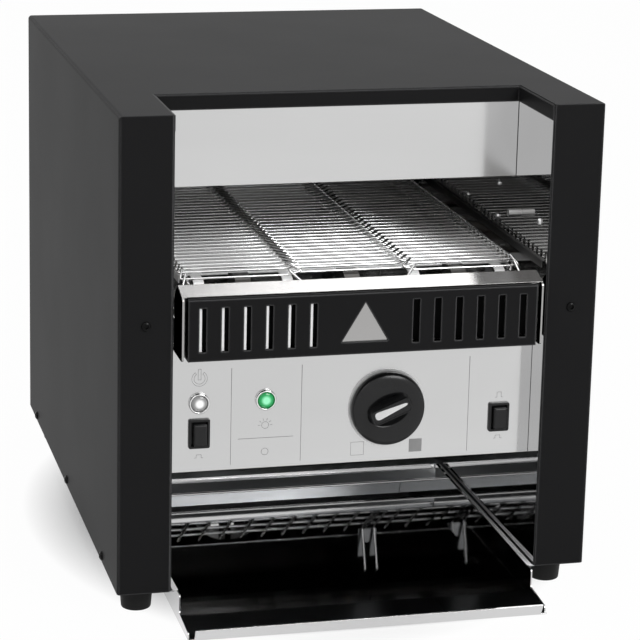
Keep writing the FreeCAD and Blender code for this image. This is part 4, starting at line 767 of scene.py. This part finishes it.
class TOASTER_OT_belt(Step, bpy.types.Operator):
    """Builds the ladder belt of round wire, each strand hooked over the next"""

    bl_idname = "toaster.belt"
    bl_label = "Wire belt"

    def build(self, scene):
        half = np.array(strand_path()) * MM
        line = round_path(np.vstack([(half * (-1, 1, 1))[::-1], half]), 1.6 * MM, 2)
        points, faces = tube(line, sizes().wire / 2, 8)
        loop = hinge_loop()
        across = np.array([1, 0, 0])
        shells = []
        for (y, z), (next_y, next_z) in zip(loop, np.roll(loop, -1, axis=0)):
            along = np.array([0, next_y - y, next_z - z])
            along /= np.linalg.norm(along)
            axes = np.array([across, along, np.cross(across, along)])
            shells.append(((0, y, z) + points @ axes, faces))
        piece("belt_strands", shells, belt_steel(), "toaster", ["wire_belt"], 50)


class TOASTER_OT_slide(Step, bpy.types.Operator):
    """Builds the welded wire slide and the two bent stop wires"""

    bl_idname = "toaster.slide"
    bl_label = "Wire slide"

    def build(self, scene):
        r = sizes().slide_wire / 2
        low, high = (np.array(v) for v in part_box("wire_slide"))
        slope = math.radians(36)
        way = np.array([0, math.cos(slope), math.sin(slope)])
        up = np.array([0, -way[2], way[1]])
        start = np.array([0, low[1] + r * way[2], low[2] + r * way[1]])
        run = (high[1] - start[1] - r * way[2]) / way[1]
        shells = []
        for x in np.arange(-7, 8) * 19 * MM:
            foot = start + [x, 0, 0]
            shells.append(tube([foot, foot + way * run], r, 10))
        weld, cross_bars = 0.3 * MM, (0.2, 0.52, 0.84)
        for share in cross_bars:
            spot = start + way * run * share - (2 * r - weld) * up
            shells.append(tube([spot - [high[0], 0, 0], spot + [high[0], 0, 0]], r, 10))
        piece("slide_wires", shells, belt_steel(), "toaster", ["wire_slide"], 50)
        shells = []
        lean, tail = 14 * MM, 46 * MM
        for box_low, box_high in split_boxes("stop_wires"):
            base = start + way * run * cross_bars[-1] + 0.35 * MM * up
            base[0] = (box_low[0] + box_high[0]) / 2
            top = (base[0], base[1] - lean, box_high[2] - 0.5 * MM)
            shells.append(tube(round_path([base - way * tail, base, top], 4 * MM, 5), r, 12))
        piece("stop_wire_pair", shells, belt_steel(), "toaster", ["stop_wires"], 50)


class TOASTER_OT_trim(Step, bpy.types.Operator):
    """Builds the casing's folds, the bridge's edge, the strips of painted highlight on the tray's flanges,
    and the guard's slot edges with a painted highlight and black strips of painted shade behind them
    """

    bl_idname = "toaster.trim"
    bl_label = "Edge strips"

    def build(self, scene):
        self.bridge()
        self.folds()
        self.flange_highlights()
        self.slots()

    def bridge(self):
        """The bright front edge of the base bridge, rolled in along its upper and lower side."""
        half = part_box("toast_tray")[1][0] - 4 * MM
        low, top = 17.4 * MM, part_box("base_frame")[1][2]
        rings = []
        for inset, y in ((0, 29), (0, 28.5), (0.25 * MM, 28.3)):
            ring = rounded_ring(2 * (half - inset), top - low - 2 * inset, 0.5 * MM)
            rings.append(facing(ring, 0, y * MM, (low + top) / 2))
        piece("bridge_edge", [loft(rings)], bright_steel(), "toaster")

    def folds(self):
        """The casing's folds: over the hood, back along both inner walls and down their front edges."""
        hood_y, hood_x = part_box("hood_panel")[0][1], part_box("hood_panel")[1][0]
        wall_x, wall_y, wall_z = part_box("inner_wall_right")[0]
        foot, top, drop = wall_z + 0.3 * MM, cad_high[2] - 0.8 * MM, 11.8 * MM
        z = top - drop / 2
        shells = [plate(2 * hood_x, drop, 0.3 * MM, 0, z, (hood_y + 0.6 * MM, hood_y - 0.5 * MM))]
        for side in (-1, 1):
            depths = (hood_y - 0.6 * MM, wall_y + 0.2 * MM)
            shells.append(plate(0.9 * MM, drop, 0.2 * MM, side * wall_x, z, depths))
            depths = (wall_y + 0.1 * MM, wall_y - 0.35 * MM)
            x = side * (wall_x + 0.7 * MM)
            shells.append(plate(1.5 * MM, top - foot, 0.3 * MM, x, (top + foot) / 2, depths))
        piece("brow_fold", shells, black_powder(), "toaster")

    def flange_highlights(self):
        """The strips of painted highlight on the tray's flanges, narrower towards the back."""
        half, rear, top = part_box("toast_tray")[1]
        shells = []
        for side in (-1, 1):
            rings = []
            for y, width in ((-217 * MM, 4.1 * MM), (rear - MM, 1.4 * MM)):
                ring = rounded_ring(width, 0.3 * MM, 0.1 * MM)
                rings.append(facing(ring, side * (half - 0.2 * MM - width / 2), y, top + 0.05 * MM))
            shells.append(loft(rings))
        piece("tray_flange_highlights", shells, highlight_white(), "tray")

    def slots(self):
        """The cut edges in the left group of the guard's slots, painted near-white as a highlight, and black
        strips behind both groups that paint the shade seen through the slots.
        """
        y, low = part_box("guard_cover")[0][1:]
        rise, first, step = 33.4 * MM, 122.9 * MM, 16.707 * MM
        z = low + 6.9 * MM + rise / 2
        edge_depths = (y + 1.8 * MM, y + 1.3 * MM)
        shade_strip_depths = (y + 9.2 * MM, y + 8.7 * MM)
        edges, strips = [], []
        for k in range(6):
            x = first - step * k
            edges.append(plate(2.2 * MM, rise - 0.6 * MM, 0.1 * MM, -x - 1.6 * MM, z, edge_depths))
            for side in (-1, 1):
                centre = side * x + 2.4 * MM
                strips.append(plate(8 * MM, rise + 2 * MM, 0.2 * MM, centre, z, shade_strip_depths))
        # The cut edges carry a painted highlight, and the black strips behind the slots are painted shade.
        piece("slot_edge_highlights", edges, highlight_white(), "toaster")
        piece("slot_shade_strips", strips, black_powder(), "toaster")


def knob_place(points, angle):
    """Knob points (a, b, h), a along the pointer and h outward, turned by its angle and set on the panel."""
    points = np.asarray(points, float).reshape(-1, 3) * MM
    centre = middle("knob_spindle")
    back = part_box("knob")[1][1]
    a, b, h = points.T
    x = centre[0] + a * math.cos(angle) - b * math.sin(angle)
    z = centre[2] + a * math.sin(angle) + b * math.cos(angle)
    return np.stack([x, back - h, z], -1)


def bar_ring(length, width, height, corner):
    """A rounded rectangle of the grip bar at a height, set a little to one side of the knob's middle."""
    ring = rounded_ring(length, width, corner, 5) + (0, 2)
    return np.column_stack([ring, np.full(len(ring), height)])


class TOASTER_OT_knob(Step, bpy.types.Operator):
    """Builds the knob: a domed body with a finger bowl, a tapered grip bar and an inlaid pointer"""

    bl_idname = "toaster.knob"
    bl_label = "Knob"

    def build(self, scene):
        s = sizes()
        dome = s.knob_dome / MM
        corners = [(0, 0), (29, 0), (29, 3.8), (27.9, 6.2), (25.2, dome - 1.5), (18.6, dome)]
        corners += [(16.9, dome - 0.4), (13.4, dome - 2.7), (8, dome - 4.2), (0, dome - 4.6)]
        profile = soft_profile(corners, 2.4, 5)
        body, faces = lathe(profile, (0, 0, 0), (0, 0, 1), 96)
        spread = np.hypot(body[:, 0], body[:, 1])
        body[:, 1] *= np.interp(spread, (0, 17, 24), (0.7, 0.7, 1))
        rows = [(35, 13.4, dome - 5.5, 3.6), (32.6, 12.4, 15.1, 3.2), (31.8, 11.9, 16.7, 3.0)]
        rows += [(31.0, 11.2, 17.4, 2.7), (30.4, 10.6, 17.5, 2.5), (29.6, 9.8, 17.5, 2.2)]
        rows += [(29.2, 9.4, 17.0, 2.0)]
        bar, bar_faces = loft([bar_ring(*row) for row in rows])
        shells = [(knob_place(body, s.pointer_angle), faces), (knob_place(bar, s.pointer_angle), bar_faces)]
        piece("knob_body", shells, knob_black(), "knob", ["knob"], 40)
        side = [(-13.4, 1.2), (-12.6, 2.5), (-11, 3.1), (-9, 3.0), (11.6, 1.1), (12.9, 0.7), (13.3, 0)]
        ring = np.array(side + [(a, -b) for a, b in side[-2::-1]])
        rings = []
        for factor, height in ((1, 16.9), (1, 17.3), (0.985, 17.4)):
            rings.append(np.column_stack([ring * factor + (0, 3), np.full(len(ring), height)]))
        inlay, faces = loft(rings)
        shells = [(knob_place(inlay, s.pointer_angle), faces)]
        piece("pointer_inlay", shells, pointer_metal(), "knob", ["knob_pointer"])


TALLER = 6.6  # how much higher than wide the buttons are, in mm


class TOASTER_OT_buttons(Step, bpy.types.Operator):
    """Builds both push buttons: a moulded bezel with a pocket and a cap with a dished front"""

    bl_idname = "toaster.buttons"
    bl_label = "Push buttons"

    def build(self, scene):
        bezel = [(16.4, 1.6, 0.1), (16.4, 1.6, -1.7), (16.0, 1.5, -2.1), (15.4, 1.3, -2.2), (12.8, 0.7, -2.2)]
        bezel += [(12.4, 0.6, -1.9), (12.4, 0.6, 14.0), (13.2, 0.6, 14.0), (13.2, 0.6, 0.1)]
        inset = [(0, 13.5), (0, 1), (0.9, 0.8), (0.9, -5.5), (1.3, -6.2), (2, -6.5), (3, -6.42), (4.3, -6.3)]
        cap = [(11.8 - 2 * d, 0.7, y) for d, y in inset]
        shells = []
        for node in ("power_button_cap", "mode_button_cap"):
            rings = self.rings(node, bezel)
            faces = grid_quads(len(rings), len(rings[0]), wrap_rows=True, wrap_columns=True)
            shells.append((np.vstack(rings), faces.tolist()))
            body = node.replace("_cap", "")
            rings = self.rings(node, cap)
            piece(body + "_press", [loft(rings)], black_plastic(), body, [node], 40)
        piece("button_rims", shells, black_plastic(), "toaster", ["button_bezels"], 40)

    def rings(self, node, rows):
        """Rings in front of the panel, from rows of width, corner and depth in mm, each higher than wide."""
        x, _, z = middle(node)
        face_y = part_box("control_panel")[0][1]
        rings = []
        for width, corner, y in rows:
            ring = rounded_ring(width * MM, (width + TALLER) * MM, corner * MM)
            rings.append(facing(ring, x, face_y + y * MM, z))
        return rings


class TOASTER_OT_lamps(Step, bpy.types.Operator):
    """Builds both indicator lamps: a turned chrome rim and a domed lens"""

    bl_idname = "toaster.lamps"
    bl_label = "Lamps"

    def build(self, scene):
        face_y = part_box("control_panel")[0][1]
        shells = []
        rim = [(6.2, 0.6), (6.3, 1.9), (6.7, 2.9), (7.1, 3.0), (7.7, 2.7), (8.2, 1.7), (8.2, 0), (5.4, 0)]
        rim = np.array(rim + [(5.4, -25), (0, -25), (0, 0.6)]) * MM
        t = np.linspace(0, math.pi / 2, 12)
        radius, base = 6.2, 0.6
        dome = np.stack([radius * np.sin(t), 1.1 + 2.3 * np.cos(t)], -1)
        dome = np.vstack([dome, [(radius, base), (0, base)]]) * MM
        for node, material in (("white_lens", white_lens()), ("green_lens", green_lens())):
            x, _, z = middle(node)
            centre = (x, face_y, z)
            shells.append(lathe(soft_profile(rim, 0.4 * MM, 3), centre, FORWARD, 64))
            piece(node + "_dome", [lathe(dome, centre, FORWARD)], material, "toaster", [node])
        piece("lamp_rims", shells, chrome(), "toaster", ["lamp_bezels"], 40)


def stroke(points, width, face_y, closed=False, proud=0.04 * MM):
    """A flat engraved line in (x, z) as a thin closed ribbon: each corner's two sides lie at
    p +- (w/2) m / (m . n), m the unit bisector of the neighbouring normals n."""
    points = np.asarray(points, float)
    ways = np.diff(np.vstack([points, points[:1]]) if closed else points, axis=0)
    ways /= np.linalg.norm(ways, axis=1)[:, None]
    normals = np.stack([-ways[:, 1], ways[:, 0]], -1)
    if closed:
        before = np.roll(normals, 1, axis=0)
    else:
        normals = np.vstack([normals, normals[-1:]])
        before = np.vstack([normals[:1], normals[:-1]])
    mitre = normals + before
    mitre /= np.linalg.norm(mitre, axis=1)[:, None]
    mitre /= np.maximum((mitre * normals).sum(1), 0.4)[:, None]
    left, right = points + mitre * width / 2, points - mitre * width / 2
    ring = []
    for pair, y in ((left, -proud), (right, -proud), (right, 0.1 * MM), (left, 0.1 * MM)):
        ring.append(np.stack([pair[:, 0], np.full(len(pair), face_y + y), pair[:, 1]], -1))
    rings = np.stack(ring, 1)
    rows = len(points)
    faces = grid_quads(rows, 4, wrap_rows=closed, wrap_columns=True).tolist()
    if not closed:
        faces += [[3, 2, 1, 0], [4 * rows - 4, 4 * rows - 3, 4 * rows - 2, 4 * rows - 1]]
    return rings.reshape(-1, 3), faces


def arc(x, z, radius, start, stop, steps=24):
    """Points on an arc, angles in degrees: (x + r cos a, z + r sin a)."""
    a = np.radians(np.linspace(start, stop, steps + 1))
    return np.stack([x + radius * np.cos(a), z + radius * np.sin(a)], -1)


def ring_band(x, z, radius, start, stop, width):
    """The outline of an arc of a given stroke width."""
    return np.vstack([arc(x, z, radius, start, stop), arc(x, z, radius - width, stop, start)])


class TOASTER_OT_marks(Step, bpy.types.Operator):
    """Engraves the dividing lines and the generic symbols on the control panel, at (x, z) in mm"""

    bl_idname = "toaster.marks"
    bl_label = "Engraved marks"

    def build(self, scene):
        face_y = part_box("control_panel")[0][1]
        w = sizes().line_width / MM
        fine, finer = w * 0.8, w * 0.6
        lines = [([(x, 111), (x, 187)], w, False) for x in (-93.5, -39.1, 93.3)]
        lines.append(([(-88, 131), (-45, 131)], w, False))
        lines.append((ring_band(-118, 180.2, 5.9, 125, 415, 1.7), finer, True))
        lines.append(([(-119.1, 179.3), (-119.1, 187.6), (-116.9, 187.6), (-116.9, 179.3)], finer, True))
        lamp = np.array([-67, 141])
        lines.append((arc(*lamp, 2.7, 0, 352, 22), fine, True))
        for a in np.radians((0, 36, 72, 108, 144, 180)):
            way = np.array([math.cos(a), math.sin(a)])
            lines.append(([lamp + way * 3.7, lamp + way * 5.6], fine, False))
        lines.append((arc(-67, 120, 2.7, 0, 352, 22), fine, True))
        square = np.array([(-5.1, -5.2), (5.1, -5.2), (5.1, 5.2), (-5.1, 5.2)])
        lines.append((square + (5.6, 118), finer, True))
        button = np.array([(-3.4, -1.2), (-1.9, -1.2), (-1.9, 1.2), (1.9, 1.2), (1.9, -1.2), (3.4, -1.2)])
        for shape in (button + (-118, 119.2), button + (118, 121), button * (0.9, 1.7) + (118, 155)):
            lines.append((shape, w * 0.7, False))
        lines.append(([(46.7, 118), (56.9, 118)], 10.4, False))
        shells = []
        for points, width, closed in lines:
            shells.append(stroke(np.array(points) * MM, width * MM, face_y, closed))
        piece("panel_marks", shells, mark_grey(), "toaster")


def domed_screw(seat, outward, radius, stand, key):
    """A button-head screw: rows of r(v), round outside and k / cos(((v + 30) mod 60) - 30) in the socket."""
    sides = 24
    v = np.arange(sides) / sides * TAU
    wedge = np.radians((np.degrees(v) + 30) % 60 - 30)
    hexagon = key / np.cos(wedge)
    plain = np.ones(sides)
    depth = stand * 0.35
    rows = [(0 * plain, depth), (hexagon, depth), (hexagon, stand), (hexagon * 1.12, stand)]
    for a in np.radians([25, 45, 65, 85]):
        rows.append((plain * radius * math.sin(a) ** 0.8, stand * math.cos(a) ** 0.7))
    rows += [(plain * radius, 0), (0 * plain, 0)]
    axis = np.asarray(outward, float)
    ring = circle(axis, sides)
    points = [np.asarray(seat) + h * axis + r[:, None] * ring for r, h in rows]
    return np.vstack(points), grid_quads(len(rows), sides, wrap_columns=True).tolist()


class TOASTER_OT_screws(Step, bpy.types.Operator):
    """Builds the casing's button-head screws"""

    bl_idname = "toaster.screws"
    bl_label = "Screws"

    def build(self, scene):
        low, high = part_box("outer_casing")
        for node in ("side_screws", "pillar_screws"):
            shells = []
            for box_low, box_high in split_boxes(node):
                spot = (box_low + box_high) / 2
                if node == "side_screws":
                    side = math.copysign(1, spot[0])
                    seat = (high[0] * side, spot[1], spot[2])
                    outward = (side, 0, 0)
                    stand = box_high[0] - high[0] if side > 0 else low[0] - box_low[0]
                else:
                    seat, outward, stand = (spot[0], low[1], spot[2]), (0, -1, 0), low[1] - box_low[1]
                radius = (box_high[2] - box_low[2]) / 2
                shells.append(domed_screw(seat, outward, radius, stand, radius * 0.42))
            piece(node[:-1] + "_heads", shells, black_screws(), "toaster", [node], 30)


class TOASTER_OT_feet(Step, bpy.types.Operator):
    """Builds the four rubber feet with a rounded tread and a screw well"""

    bl_idname = "toaster.feet"
    bl_label = "Feet"

    def build(self, scene):
        for node in ("front_left_foot", "front_right_foot", "rear_left_foot", "rear_right_foot"):
            x, y, _ = middle(node)
            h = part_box(node)[1][2] / MM
            corners = np.array([(0, 7), (4.5, 7), (4.5, 0), (11.4, 0), (13, h - 1), (13, h), (0, h)]) * MM
            shell = lathe(soft_profile(corners, 1.2 * MM, 4), (x, y, 0), (0, 0, 1))
            piece(node + "_rubber", [shell], rubber(), "toaster", [node])


class TOASTER_OT_stage(Step, bpy.types.Operator):
    """Sets the floor, the light, the backdrop and the camera"""

    bl_idname = "toaster.stage"
    bl_label = "Stage"

    def build(self, scene):
        reach = 6
        mesh = bpy.data.meshes.new("floor")
        corners = [(-reach, -reach, 0), (reach, -reach, 0), (reach, reach, 0), (-reach, reach, 0)]
        mesh.from_pydata(corners, [], [(0, 1, 2, 3)])
        floor = bpy.data.objects.new("floor", mesh)
        scene.collection.objects.link(floor)
        floor.location.z = -0.2 * MM
        paint = finish("floor_paint", "moulded_skin", colours().floor, 0.0, 0.7, 40.0, 0.0, 0.01)
        tree = paint.node_tree
        lit = tree.nodes["Principled BSDF"].outputs[0]
        show_white(tree, lit, "Emission", tree.nodes["Material Output"], open_floor(tree, 0.98))
        mesh.materials.append(paint)
        for name, spot, target, size, power in (
            ("key", (-1.8, -1.6, 2.4), (0, 0, 0.2), 1.8, 18),
            ("front", (1.3, -2.5, 2.1), (0, -0.1, 0.2), 1.8, 66),
            ("top", (0.2, 0.8, 2.8), (0, 0, 0.2), 2.2, 16),
        ):
            lamp = bpy.data.lights.new(name, "AREA")
            lamp.shape = "DISK"
            lamp.size = size
            lamp.energy = power
            light = bpy.data.objects.new(name, lamp)
            scene.collection.objects.link(light)
            way = np.array(spot) - np.array(target)
            light.matrix_world = Matrix.Translation(spot) @ look(way).to_4x4()
        world = bpy.data.worlds.new("backdrop")
        scene.world = world
        world.use_nodes = True
        tree = world.node_tree
        shade = tree.nodes["Background"]
        shade.inputs["Color"].default_value = (1, 1, 1, 1)
        shade.inputs["Strength"].default_value = 0.12
        show_white(tree, shade.outputs[0], "Background", tree.nodes["World Output"], 1)
        optics = bpy.data.cameras.new("camera")
        optics.sensor_width = 36
        optics.lens = 137.48
        optics.shift_x = 0.1
        optics.shift_y = -0.15
        optics.clip_start = 0.05
        camera = bpy.data.objects.new("camera", optics)
        scene.collection.objects.link(camera)
        camera.matrix_world = camera_place()
        scene.camera = camera
        scene.view_settings.view_transform = "Standard"


def open_floor(tree, most):
    """How open the floor lies: none under the toaster, most beyond an ellipse round it."""
    return remap(tree, ball(tree, stretch(tree, own_place(tree), (4.5, 3.4, 0.0))), 0.0, 0.3, most, 0.0)


def show_white(tree, shade, kind, leave, share):
    """Mixes plain white into a floor or backdrop, for camera, glossy and transmission rays alone."""
    rays = add_node(tree, "LightPath").outputs
    seen = number_sum(tree, "MAXIMUM", rays["Is Camera Ray"], rays["Is Glossy Ray"])
    seen = number_sum(tree, "MAXIMUM", seen, rays["Is Transmission Ray"])
    part = number_sum(tree, "MULTIPLY", seen, share)
    white = add_node(tree, kind, {"Color": (1, 1, 1, 1)}).outputs[0]
    mix = add_node(tree, "MixShader", {0: part, 1: shade, 2: white})
    tree.links.new(mix.outputs[0], leave.inputs["Surface"])


def look(way):
    """The turn that points -Z away from a way, with +Y up."""
    back = np.asarray(way, float) / np.linalg.norm(way)
    right = np.cross([0, 0, 1], back)
    right /= np.linalg.norm(right)
    return Matrix(np.stack([right, np.cross(back, right), back], -1).tolist())


def camera_place():
    """The fitted camera: Rz(roll) Rx(pitch) Ry(yaw) takes the world to x right, y down, z ahead."""
    yaw, pitch, roll = -0.2317, 0.2377, 0.0177
    turn = Matrix.Rotation(roll, 3, "Z") @ Matrix.Rotation(pitch, 3, "X") @ Matrix.Rotation(yaw, 3, "Y")
    turn = turn @ Matrix([(1, 0, 0), (0, 0, -1), (0, 1, 0)])
    axes = Matrix([turn[0], -turn[1], -turn[2]]).transposed()
    return Matrix.Translation((-0.47995, -1.90071, 0.72285)) @ axes.to_4x4()


class TOASTER_PT_sidebar(bpy.types.Panel):
    """Sizes, colours and the buttons that build each group"""

    bl_idname = "TOASTER_PT_sidebar"
    bl_label = "Conveyor toaster"
    bl_space_type = "VIEW_3D"
    bl_region_type = "UI"
    bl_category = "Toaster"

    def draw(self, context):
        column = self.layout.column()
        for holder in (context.scene.toaster_sizes, context.scene.toaster_colours):
            for key in holder.__annotations__:
                column.prop(holder, key)
        for step in STEPS:
            column.operator(step.bl_idname)


STEPS = (
    TOASTER_OT_finishes,
    TOASTER_OT_belt,
    TOASTER_OT_slide,
    TOASTER_OT_trim,
    TOASTER_OT_knob,
    TOASTER_OT_buttons,
    TOASTER_OT_lamps,
    TOASTER_OT_marks,
    TOASTER_OT_screws,
    TOASTER_OT_feet,
    TOASTER_OT_stage,
)
CLASSES = (ToasterSizes, ToasterColours, TOASTER_PT_sidebar) + STEPS


def register():
    for item in CLASSES:
        bpy.utils.register_class(item)
    bpy.types.Scene.toaster_sizes = bpy.props.PointerProperty(type=ToasterSizes)
    bpy.types.Scene.toaster_colours = bpy.props.PointerProperty(type=ToasterColours)


def unregister():
    del bpy.types.Scene.toaster_sizes
    del bpy.types.Scene.toaster_colours
    for item in reversed(CLASSES):
        bpy.utils.unregister_class(item)


def main():
    """Registers the add-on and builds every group."""
    register()
    for step in STEPS:
        getattr(bpy.ops.toaster, step.bl_idname.split(".")[1])()


if __name__ == "__main__":
    main()
